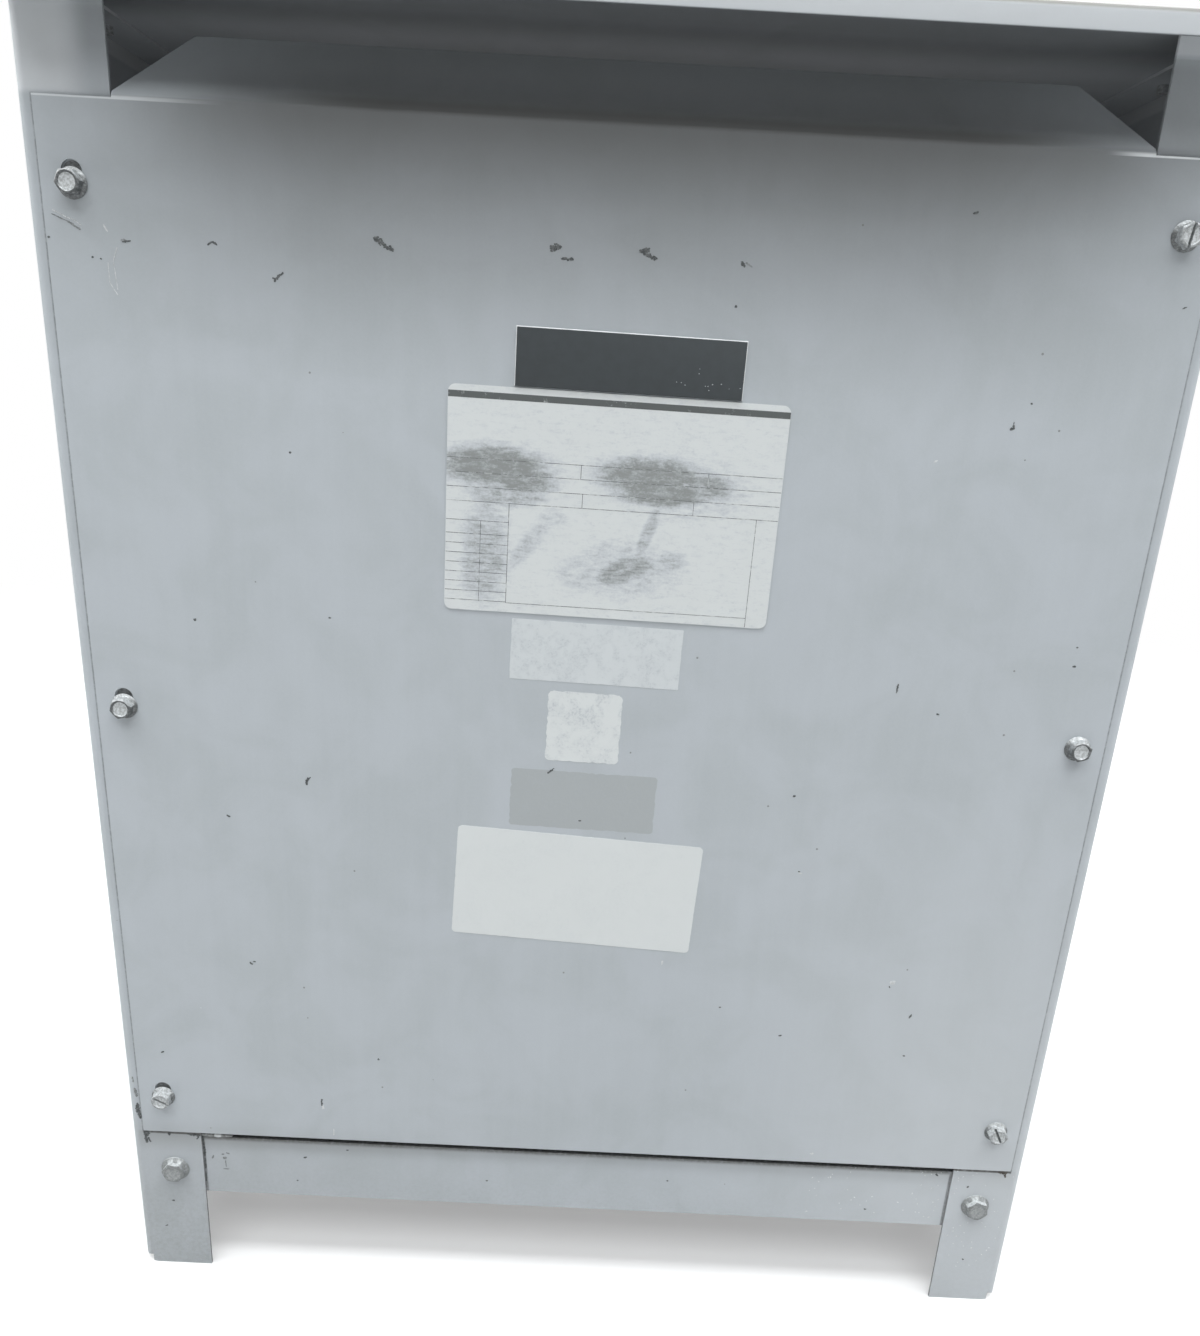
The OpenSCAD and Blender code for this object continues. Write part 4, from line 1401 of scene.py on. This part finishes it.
BEND_NICKS: tuple[Fleck, ...] = (
    (-286.5, 14.2, 12.5, 3.2, 96), (-283.4, -5.6, 11.5, 2.6, 94), (-282.2, -3.1, 4.4, 2.8, 80),
    (-275.8, -80.1, 1.8, 1.1, 20), (-269.7, -58.3, 1.6, 1.0), (265.7, -77.2, 1.2, 1.0),
    (258.9, -15.6, 1.6, 1.0, 30),
    (-268.0, -3.2, 2.6, 1.9, 90), (-251.8, -3.1, 8.4, 2.1, -4), (-281.4, -8.4, 4.0, 1.4, 102),
    (-249.6, -5.0, 3.4, 1.2, 70),
)
BEND_SCUFFS: tuple[Fleck, ...] = (
    (-287.1, 28.6, 6.8, 2.6, 95), (-288.0, 38.5, 4.0, 1.2, 95), (-284.2, 1.5, 3.0, 1.4, 80),
)
# The long marks near X -247 draw a dark line of painted shade and dirt along the foot's edge by the rail's
# end
RAIL_FLECKS: tuple[Fleck, ...] = (
    (-180.3, -18.8, 2.2, 1.3, 20), (-186.2, -38.2, 1.3, 1.0), (-152.3, -11.4, 1.5, 1.1),
    (237.8, -8.6, 2.6, 1.6, -30), (194, -39.9, 1.6, 1.2), (-246.9, -8.5, 9, 1.1, 92),
    (-246.7, -17.5, 9, 1.7, 90), (-246.8, -27.5, 9, 1.3, 90),
    (-247.0, -38.5, 8, 0.9, 90), (60, -24, 1.2, 0.9), (-60, -31, 1.3, 0.9),
)
RAIL_SCUFFS: tuple[Fleck, ...] = (
    (-233.6, -22.3, 2.6, 2.2), (-231.6, -18.4, 2.4, 0.9, -20), (-234.8, -19.4, 1.6, 0.9),
    (-233.2, -27.2, 5.5, 0.7, 92), (-233.2, -31.4, 4.2, 0.7, 2), (-241.5, -22, 3.2, 1.2, 70),
)
RUST_SPOTS: tuple[Fleck, ...] = ((279.6, -2.6, 6.0, 3.0, -14), (281.6, -5.2, 2.6, 1.8, -70))


@dataclass
class PaintMarks:
    """Residue and chips on the front, and a line of painted shade by the rail's end, each a ragged scatter of
    small low crumbs.
    """

    crumb: float = 0.62
    thick: float = 0.16
    ragged: float = 0.5 * MM
    grain: float = 900.0
    seed: int = 41

    def mark_tree(self) -> GrowthTree:
        """Lay a ragged crumb on each point.

        Returns:
            The tree.
        """
        tree = GrowthTree("paint marks")
        ragged, grain = tree.size("Raggedness"), tree.size("Grain")
        disc = tree.made("MeshCylinder", Vertices=11, Radius=1.0, Depth=1.0)
        turned = tree.node("FunctionNodeEulerToRotation", None, tree.read("spin", "FLOAT_VECTOR"))
        placed = tree.made("InstanceOnPoints", tree.base, Instance=disc, Rotation=turned.outputs[0],
                           Scale=tree.read("half", "FLOAT_VECTOR"))
        spot = tree.vector("SCALE", tree.made("InputPosition"), grain)
        cloud = tree.node("ShaderNodeTexNoise", Vector=spot, Scale=1.0, Detail=3.0, Roughness=0.7)
        centred = tree.vector("SUBTRACT", cloud.outputs["Color"], (0.5, 0.5, 0.5))
        push = tree.vector("SCALE", tree.vector("MULTIPLY", centred, (1.0, 0.0, 1.0)), ragged)
        tree.close(tree.made("SetPosition", tree.made("RealizeInstances", placed), Offset=push))
        return tree

    def build(self, name: str, node: str, finish: Finish, flecks: Sequence[Fleck]) -> None:
        """Scatter each mark's crumbs about its middle line, denser towards its middle.

        Args:
            name: The piece's name.
            node: The node on whose front they lie.
            finish: Their finish.
            flecks: The marks.
        """
        chance = random.Random(self.seed)
        face, low_z = front(node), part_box("front_panel")[0].z
        places, spins, halves = [], [], []
        for mark_x, mark_z, length, width, *turned in flecks:
            turn = math.radians(turned[0] if turned else 0.0)
            crumb = min(self.crumb, 0.55 * width + 0.1)
            count = 3 + round(0.85 * length * width / crumb ** 2)
            for step in range(count):
                along = ((step + chance.random()) / count - 0.5) * (length - crumb)
                room = 0.5 * max(width - crumb, 0.0) * math.sqrt(1 - (2 * along / length) ** 2)
                across = max(-1.25, min(1.25, chance.gauss(0, 0.6))) * room
                x = mark_x + along * math.cos(turn) - across * math.sin(turn)
                z = mark_z + along * math.sin(turn) + across * math.cos(turn)
                places.append(Vector((x * MM, face, low_z + z * MM)))
                spins.append(Vector((math.pi / 2, -turn - chance.uniform(-0.5, 0.5), 0.0)))
                half = crumb * chance.uniform(0.35, 0.8)
                halves.append(Vector((1.3 * half, half, 2 * self.thick * chance.uniform(0.4, 1.0))) * MM)
        base = points_mesh(name, places, spin=spins, half=halves)
        grown = self.mark_tree().grow(name, base, finish, Grain=self.grain, Raggedness=self.ragged)
        settle(grown, finish.slot)


@dataclass
class PanelFace:
    """What sits on the front panel: the plates, the stickers and the marks in the enamel."""

    stickers: tuple[Sticker, ...] = (
        Sticker("foil_sticker", FOIL, 94, 34.5, -5.8, 339, 1.2, 0.4, 3),
        Sticker("square_sticker", SQUARE_FILM, 42, 42, -10.5, 295.5, 1.2, 3, 5, ragged=0.8),
        Sticker("bare_patch", GHOST, 84, 36, -9, 250.3, 1.2, 2, 7, thick=0.03, ragged=0.8),
        Sticker("notice_sticker", NOTICE_FILM, 144, 71.5, -10.5, 192.2, 2.8, 2.5, 9, thick=0.16),
    )
    # Paint caught in the gap over the rail's left end: X and (radius, reach) points in millimetres
    caught: tuple[tuple[str, Finish, float, tuple[Point, ...]], ...] = (
        ("paint_drip", DRIP, -235.8, ((0.1, -4.4), (1.0, -3.6), (1.6, -1.0), (1.4, 1.2), (0.8, 3.5),
                                      (0.1, 4.4))),
        ("caked_paint", CAKED, -236.9, ((0.1, -10.3), (1.0, -9.7), (1.35, -5.0), (1.15, 0.0), (1.4, 5.0),
                                        (1.0, 9.7), (0.1, 10.3))),
    )
    caught_z: float = 109.3 * MM
    # Specks on the tag, the rail and the foot: how many, and the ranges of their X and Z
    tag_specks: tuple[int, Point, Point] = (12, (24, 60), (479, 492))
    rail_specks: tuple[int, Point, Point] = (44, (243, 151), (-45, -5))
    foot_specks: tuple[int, Point, Point] = (40, (250, 288), (-85, -3))
    seed: int = 29

    def build(self) -> None:
        """Build them from the top of the panel down."""
        for part in (EngravedTag(), Nameplate(), *self.stickers):
            part.build()
        panel, flange, rail = "front_panel", "left_side_sheet", "front_base_rail"
        for name, finish, x, profile in self.caught:
            paint = Shape()
            paint.turned([(radius * MM, reach * MM) for radius, reach in profile], 20,
                         Matrix.Translation((x * MM, front(rail) - MM, self.caught_z))
                         @ Matrix.Rotation(math.radians(90), 4, "Y"))
            settle(paint.piece(name, finish, smooth=60.0), Slot.PAINT)
        chance = random.Random(self.seed)
        count, across, up = self.tag_specks
        specks = [(chance.uniform(*across), chance.uniform(*up), 0.45, 0.35) for _ in range(count)]
        count, (near, far), up = self.rail_specks
        salt = [(near - (near - far) * chance.random() ** 1.6, chance.uniform(*up), chance.uniform(0.5, 1.3),
                 chance.uniform(0.3, 0.75), chance.uniform(0, 180)) for _ in range(count)]
        count, across, up = self.foot_specks
        grit = [(chance.uniform(*across), chance.uniform(*up), chance.uniform(0.4, 1.1),
                 chance.uniform(0.3, 0.6), chance.uniform(0, 180)) for _ in range(count)]
        marks = PaintMarks()
        for name, node, finish, flecks in (
            ("dark_flecks", panel, DARK_RESIDUE_AND_SHADE, DARK_FLECKS), ("faint_flecks", panel, SCUFF, FAINT_FLECKS),
            ("pale_chips", panel, CHIP, PALE_CHIPS), ("tag_specks", "engraved_tag", GHOST, specks),
            ("bend_nicks", flange, DARK_RESIDUE_AND_SHADE, BEND_NICKS), ("rust_spots", flange, RUST, RUST_SPOTS),
            ("bend_scuffs", flange, SCUFF, BEND_SCUFFS), ("rail_flecks", rail, DARK_RESIDUE_AND_SHADE, RAIL_FLECKS),
            ("rail_scuffs", rail, SCUFF, RAIL_SCUFFS), ("rail_specks", rail, SALT, salt),
            ("foot_specks", flange, SALT, grit),
        ):
            marks.build(name, node, finish, flecks)


# ---- Base, core and coils ----


@dataclass
class FoldedChannel:
    """A bent channel: a rail along X, a support along Y or a clamp along X."""

    node: str
    finish: Finish
    sheet: float
    fold: float
    opens: Vector
    steps: int = 5

    def section(self, height: float, depth: float) -> list[Point]:
        """Return the channel's section, its web on X = 0 and its flanges towards +X.

        Args:
            height: Height over the flanges.
            depth: Depth over the web.

        Returns:
            The section's points, anticlockwise.
        """
        paths: tuple[list[Point], list[Point]] = ([], [])
        for middle, first in ((self.fold, 270), (height - self.fold, 180)):
            for angle in (math.radians(first - 90 * step / self.steps) for step in range(self.steps + 1)):
                for radius, path in zip((self.fold - self.sheet, self.fold), paths):
                    path.append((self.fold + radius * math.cos(angle), middle + radius * math.sin(angle)))
        return [(depth, self.sheet), *paths[0], (depth, height - self.sheet), (depth, height),
                *reversed(paths[1]), (depth, 0.0)]

    def build(self) -> None:
        """Run the folded section along the channel."""
        low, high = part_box(self.node)
        size, middle = high - low, (low + high) / 2
        length, depth = (size.x, size.y) if abs(self.opens.y) > 0.5 else (size.y, size.x)
        start = Vector((middle.x, middle.y, low.z)) - self.opens * depth / 2
        turn = Matrix((self.opens, UP, self.opens.cross(UP))).transposed().to_4x4()
        shape = Shape()
        shape.prism(self.section(size.z, depth), -length / 2, length / 2, Matrix.Translation(start) @ turn)
        shape.outward()
        shape.soften(0.3 * MM, 1, 60.0)
        settle(shape.piece(self.node + "_folded", self.finish), self.finish.slot, self.node)


@dataclass
class CoreStack:
    """A leg or a yoke of the core, stacked from thin steel sheets."""

    node: str
    sheet: float = 0.5 * MM
    spread: float = 0.25 * MM

    @staticmethod
    def growth() -> GrowthTree:
        """Stack sheets along Y, each a little out of line.

        Returns:
            The tree.
        """
        tree = GrowthTree("steel sheets")
        count = tree.size("Sheets", "Int")
        names = ("Sheet size", "First sheet", "Step", "Spread")
        size, start, step, spread = (tree.size(name, "Vector") for name in names)
        line = tree.made("MeshLine", Count=count, Start_Location=start, Offset=step)
        placed = tree.made("InstanceOnPoints", line, Instance=tree.made("MeshCube", size))
        shift = tree.vector("MULTIPLY", tree.scatter((-1, -1, -1), (1, 1, 1), 11), spread)
        tree.close(tree.made("TranslateInstances", placed, Translation=shift))
        return tree

    def build(self, tree: GrowthTree) -> None:
        """Stack the sheets between the node's faces.

        Args:
            tree: The stacking tree.
        """
        low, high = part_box(self.node)
        size, middle = high - low, (low + high) / 2
        count = round(size.y / self.sheet)
        pitch = size.y / count
        piece = tree.grow(self.node + "_sheets", points_mesh(self.node, [middle]), CORE_STEEL, 30.0,
                          Sheet_size=(size.x - 2 * self.spread, 0.94 * pitch, size.z - 2 * self.spread),
                          Sheets=count,
                          First_sheet=(middle.x, low.y + pitch / 2, middle.z), Step=(0.0, pitch, 0.0),
                          Spread=(self.spread, 0.0, self.spread))
        settle(piece, Slot.CORE, self.node)


@dataclass
class Coil:
    """A coil: an inner winding on its tube, duct sticks round it and an outer winding of taped turns.

    The bore has a width, a depth and a corner radius, and the inner winding adds its own to the tube's.
    """

    node: str
    wall: float = 16 * MM
    turns: int = 28
    end_margin: float = 7 * MM
    tube: float = 3 * MM
    corner: float = 33 * MM
    bore: Triple = (87 * MM, 107 * MM, 8 * MM)
    winding: Triple = (24 * MM, 46 * MM, 10 * MM)
    play: float = 0.4 * MM
    lining: float = MM
    stick: float = 5 * MM
    stick_pitch: float = 11 * MM
    sticks: int = 9

    @staticmethod
    def growth() -> GrowthTree:
        """Stack taped turns into the outer winding.

        Returns:
            The tree.
        """
        tree = GrowthTree("outer winding")
        names = ("Width", "Depth", "Corner", "Wall", "Rise")
        width, depth, corner, wall, rise = (tree.size(name) for name in names)
        count = tree.size("Turns", "Int")
        start, step = tree.size("First turn", "Vector"), tree.size("Step", "Vector")
        curves = []
        for across, along, radius, steps in ((width, depth, corner, 7), (wall, rise, 1.6 * MM, 2)):
            outline = tree.made("CurvePrimitiveQuadrilateral", Width=across, Height=along)
            rounded = tree.node("GeometryNodeFilletCurve", {"mode": "POLY"}, outline, Radius=radius,
                                Count=steps)
            curves.append(rounded.outputs[0])
        turn = tree.made("CurveToMesh", *curves)
        line = tree.made("MeshLine", Count=count, Start_Location=start, Offset=step)
        shift = tree.scatter((-0.25 * MM, -0.25 * MM, -0.1 * MM), (0.25 * MM, 0.25 * MM, 0.1 * MM), 23)
        tree.close(tree.made("TranslateInstances", tree.made("InstanceOnPoints", line, Instance=turn),
                             Translation=shift))
        return tree

    def build(self, tree: GrowthTree) -> None:
        """Build the inner winding with its sticks, and with the winding tree the outer winding over them.

        Args:
            tree: The winding tree.
        """
        low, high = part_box(self.node)
        middle, size = (low + high) / 2, high - low
        tube = tuple(part + share * self.tube for part, share in zip(self.bore, (2, 2, 1)))
        winding = tuple(part + extra for part, extra in zip(tube, self.winding))
        sleeve = (size.x - 2 * self.wall, size.y - 2 * self.wall, self.corner - self.wall)
        lining = tuple(part - share * self.lining for part, share in zip(sleeve, (2, 2, 1)))
        inside = Shape()
        for inner, outer, margin in (
            (self.bore, tube, 0.0),
            ((tube[0] + self.play, tube[1] + self.play, tube[2]), winding, self.end_margin),
            (lining, sleeve, 0.3 * self.end_margin),
        ):
            bottom, top = low.z + margin, high.z - margin
            inside.sleeve([[Vector((middle.x + x, middle.y + y, z)) for x, y in rounded_rectangle(*sizes)]
                           for sizes, z in ((outer, bottom), (outer, top), (inner, top), (inner, bottom))])
        gap = (lining[1] - winding[1]) / 2
        for side in (-1, 1):
            near = middle.y + side * winding[1] / 2
            reach = sorted((near, near + side * gap))
            for step in range(self.sticks):
                x = middle.x + (step - self.sticks // 2) * self.stick_pitch
                inside.box((x - self.stick / 2, reach[0], low.z + MM),
                           (x + self.stick / 2, reach[1], high.z - MM))
        inside.soften(0.5 * MM, 1, 50.0)
        inside.outward()
        settle(inside.piece(self.node + "_inner", VARNISH), Slot.COIL, self.node)
        rise = (size.z - 2 * self.end_margin) / self.turns
        turns = tree.grow(self.node + "_turns", points_mesh(self.node, [middle]), VARNISH, 50.0,
                          Width=size.x - self.wall, Depth=size.y - self.wall,
                          Corner=self.corner - self.wall / 2, Wall=self.wall - MM, Rise=0.96 * rise,
                          Turns=self.turns, Step=(0.0, 0.0, rise),
                          First_turn=(middle.x, middle.y, low.z + self.end_margin + rise / 2))
        settle(turns, Slot.COIL)


@dataclass
class InsideFittings:
    """Bolts of the clamps and the bars, their X and drop in millimetres."""

    bars: tuple[tuple[str, float, float, tuple[float, ...]], ...] = (
        ("load_bars", 12.5, 1.0, (-165, -26, 26, 165)), ("line_bars", 7.5, 0.5, (-200, 0, 200)))
    clamps: tuple[str, ...] = ("lower_front_clamp", "upper_front_clamp", "lower_back_clamp",
                               "upper_back_clamp")
    clamp_x: tuple[float, ...] = (-82.5, 82.5, -190, 190)
    clamp_sheet: float = 4 * MM

    def build(self) -> None:
        """Set the bolts on the bars and through the clamps."""
        bolts = [ScrewPlace(Vector((x * MM, front(node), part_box(node)[1].z - drop * MM)), OUT, x * turn)
                 for node, drop, turn, places in self.bars for x in places]
        HexScrews(ZINC).build("terminal_bolts", bolts)
        clamps: list[ScrewPlace] = []
        for node in self.clamps:
            low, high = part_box(node)
            way = 1 if "back" in node else -1
            web = (low.y if way > 0 else high.y) + way * self.clamp_sheet
            clamps += [ScrewPlace(Vector((x * MM, web, (low.z + high.z) / 2)), -way * OUT, 3 * x)
                       for x in self.clamp_x]
        HexScrews(ZINC).build("clamp_bolts", clamps, 1.2)


@dataclass
class CoreAndCoils:
    """Everything inside the enclosure: its channels' sheet and fold, and the edges of the rest."""

    support: Point = (3 * MM, 5 * MM)
    clamp: Point = (4 * MM, 7 * MM)
    boards: tuple[tuple[str, Finish, float], ...] = (
        ("isolator_pads", RUBBER, 1.0), ("lower_coil_blocks", LAMINATE, 0.6),
        ("upper_coil_blocks", LAMINATE, 0.6), ("terminal_board", LAMINATE, 0.6),
        ("load_bars", BAR, 0.5), ("line_bars", BAR, 0.4),
    )
    stacks: tuple[str, ...] = ("lower_yoke", "upper_yoke", "left_leg", "middle_leg", "right_leg")

    def build(self) -> None:
        """Build the base channels, the core, the coils and the terminals."""
        for node, opens in (("left", -RIGHT), ("right", RIGHT)):
            FoldedChannel(node + "_core_support", PRIMER, *self.support, opens).build()
        for side, opens in (("front", OUT), ("back", -OUT)):
            for level in ("lower", "upper"):
                FoldedChannel(f"{level}_{side}_clamp", PRIMER, *self.clamp, opens).build()
        for node, finish, edge in self.boards:
            SheetPart(node, finish, edge * MM).build()
        stack, winding = CoreStack.growth(), Coil.growth()
        for node in self.stacks:
            CoreStack("core_" + node).build(stack)
        for side in ("left", "middle", "right"):
            Coil(side + "_coil").build(winding)
        InsideFittings().build()


@dataclass
class Enclosure:
    """The painted sheet metal with its screws."""

    sheets: tuple[str, ...] = ("left_side_sheet", "right_side_sheet", "front_panel", "back_panel",
                               "front_base_rail", "back_base_rail")

    def build(self) -> None:
        """Build the sheets, the rails, the cover and the screws."""
        for node in self.sheets:
            SheetPart(node, ENAMEL).build()
        CoverPan().build()
        EnclosureScrews().build()


# ---- Studio ----


@dataclass(frozen=True)
class Lamp:
    """A soft rectangular lamp: its place, the point that it faces, its size, power in watts and colour."""

    name: str
    at: Triple
    towards: Triple
    size: Point
    power: float
    colour: Colour = (1, 1, 1)

    def build(self) -> None:
        """Hang the lamp."""
        data = bpy.data.lights.new(self.name, "AREA")
        data.shape, data.size, data.size_y = "RECTANGLE", *self.size
        data.energy, data.color = self.power, self.colour
        lamp = linked(self.name, data)
        lamp.location = self.at
        lamp.rotation_euler = (Vector(self.towards) - Vector(self.at)).to_track_quat("-Z", "Y").to_euler()


COOL, BLACK, WHITE = (0.97, 0.99, 1.0), (0.0, 0.0, 0.0), (1.0, 1.0, 1.0)


@dataclass
class Studio:
    """Camera, lamps, pale surroundings and floor."""

    camera_at: Vector = field(default_factory=lambda: Vector((-7.27, -741.11, 603.1)) * MM)
    pitch: float = -17.31
    yaw: float = 0.47
    roll: float = 3.09
    lens: float = 26.18
    ambient: float = 0.15
    floor_half: float = 6.0
    floor_fade: Point = (0.6, 2.2)
    floor_glow: float = 0.35
    floor_pale: float = 0.6
    floor_dim: Colour = (0.62, 0.62, 0.62)
    lamps: tuple[Lamp, ...] = (
        Lamp("key_front", (0, -2.88, 4.64), (0, -0.23, 0.40), (6.0, 1.6), 140, COOL),
        Lamp("top_front", (0, -1.34, 5.30), (0, -0.23, 0.40), (6.0, 0.8), 212, COOL),
        Lamp("under_cover", (0, -0.165, 0.66), (0, -0.165, 1.0), (0.57, 0.07), 0.05),
        Lamp("key_back", (0, 2.88, 4.64), (0, 0.23, 0.40), (6.0, 1.6), 165, COOL),
        Lamp("left_side", (-4.2, 0, 2.6), (0, 0, 0.40), (2.4, 2.4), 84),
        Lamp("right_side", (4.2, 0, 2.6), (0, 0, 0.40), (2.4, 2.4), 84),
    )

    def camera(self) -> None:
        """Set up the camera close in front of the panel, tipped down and slightly rolled."""
        data = bpy.data.cameras.new("camera")
        data.lens, data.sensor_width = self.lens, 36
        data.clip_start, data.clip_end = 0.02, 50
        camera = linked("camera", data)
        yaw, pitch, roll = (math.radians(turn) for turn in (-self.yaw, 90 + self.pitch, self.roll))
        camera.matrix_world = (Matrix.Translation(self.camera_at) @ Matrix.Rotation(yaw, 4, "Z")
                               @ Matrix.Rotation(pitch, 4, "X") @ Matrix.Rotation(roll, 4, "Z"))
        bpy.context.scene.camera = camera

    def surroundings(self) -> None:
        """Light everything softly from the world, which shows white where it is seen."""
        world = bpy.data.worlds.new("surroundings")
        bpy.context.scene.world = world
        world.use_nodes = True
        graph = Graph(world.node_tree)
        graph.tree.nodes.clear()
        rays = graph.node("ShaderNodeLightPath").outputs
        kinds = ("Camera", "Glossy", "Transmission")
        seen = graph.joined("MAXIMUM", [rays[f"Is {kind} Ray"] for kind in kinds])
        lights = [graph.node("ShaderNodeBackground", None, WHITE, strength).outputs[0]
                  for strength in (self.ambient, 1.0)]
        either = graph.node("ShaderNodeMixShader", None, seen, *lights).outputs[0]
        graph.node("ShaderNodeOutputWorld", None, either)

    def floor(self) -> None:
        """Lay a pale floor that keeps a shadow, fades to white and throws little light back."""
        mesh, half = bpy.data.meshes.new("floor"), self.floor_half
        mesh.from_pydata([(-half, -half, 0), (half, -half, 0), (half, half, 0), (-half, half, 0)], [],
                         [(0, 1, 2, 3)])
        graph = ShaderGraph("pale_floor")
        seen = graph.node("ShaderNodeLightPath").outputs["Is Camera Ray"]
        away = graph.vector("LENGTH", graph.place)
        white = graph.span(away, *self.floor_fade, self.floor_glow, 1.0)
        dull = graph.span(away, *self.floor_fade, self.floor_pale, 0.0)
        tone = graph.mixed(seen, self.floor_dim, graph.mixed(dull, BLACK, WHITE))
        graph.surface(base_color=tone, roughness=0.9, specular_ior_level=0.0, emission_color=WHITE,
                      emission_strength=graph.times(white, seen))
        mesh.materials.append(graph.material)
        linked("floor", mesh)

    def build(self) -> None:
        """Set up the camera, the surroundings, the floor and the lamps."""
        bpy.context.scene.view_settings.view_transform = "Standard"
        self.camera()
        self.surroundings()
        self.floor()
        for lamp in self.lamps:
            lamp.build()


def main() -> None:
    """Build the studio, then every part of the transformer."""
    logging.basicConfig(level=logging.INFO, format="%(name)s: %(message)s")
    Studio().build()
    for part in (Enclosure(), PanelFace(), CoreAndCoils()):
        log.info("building %s", type(part).__name__)
        part.build()
    bpy.context.view_layer.update()


if __name__ == "__main__":
    main()
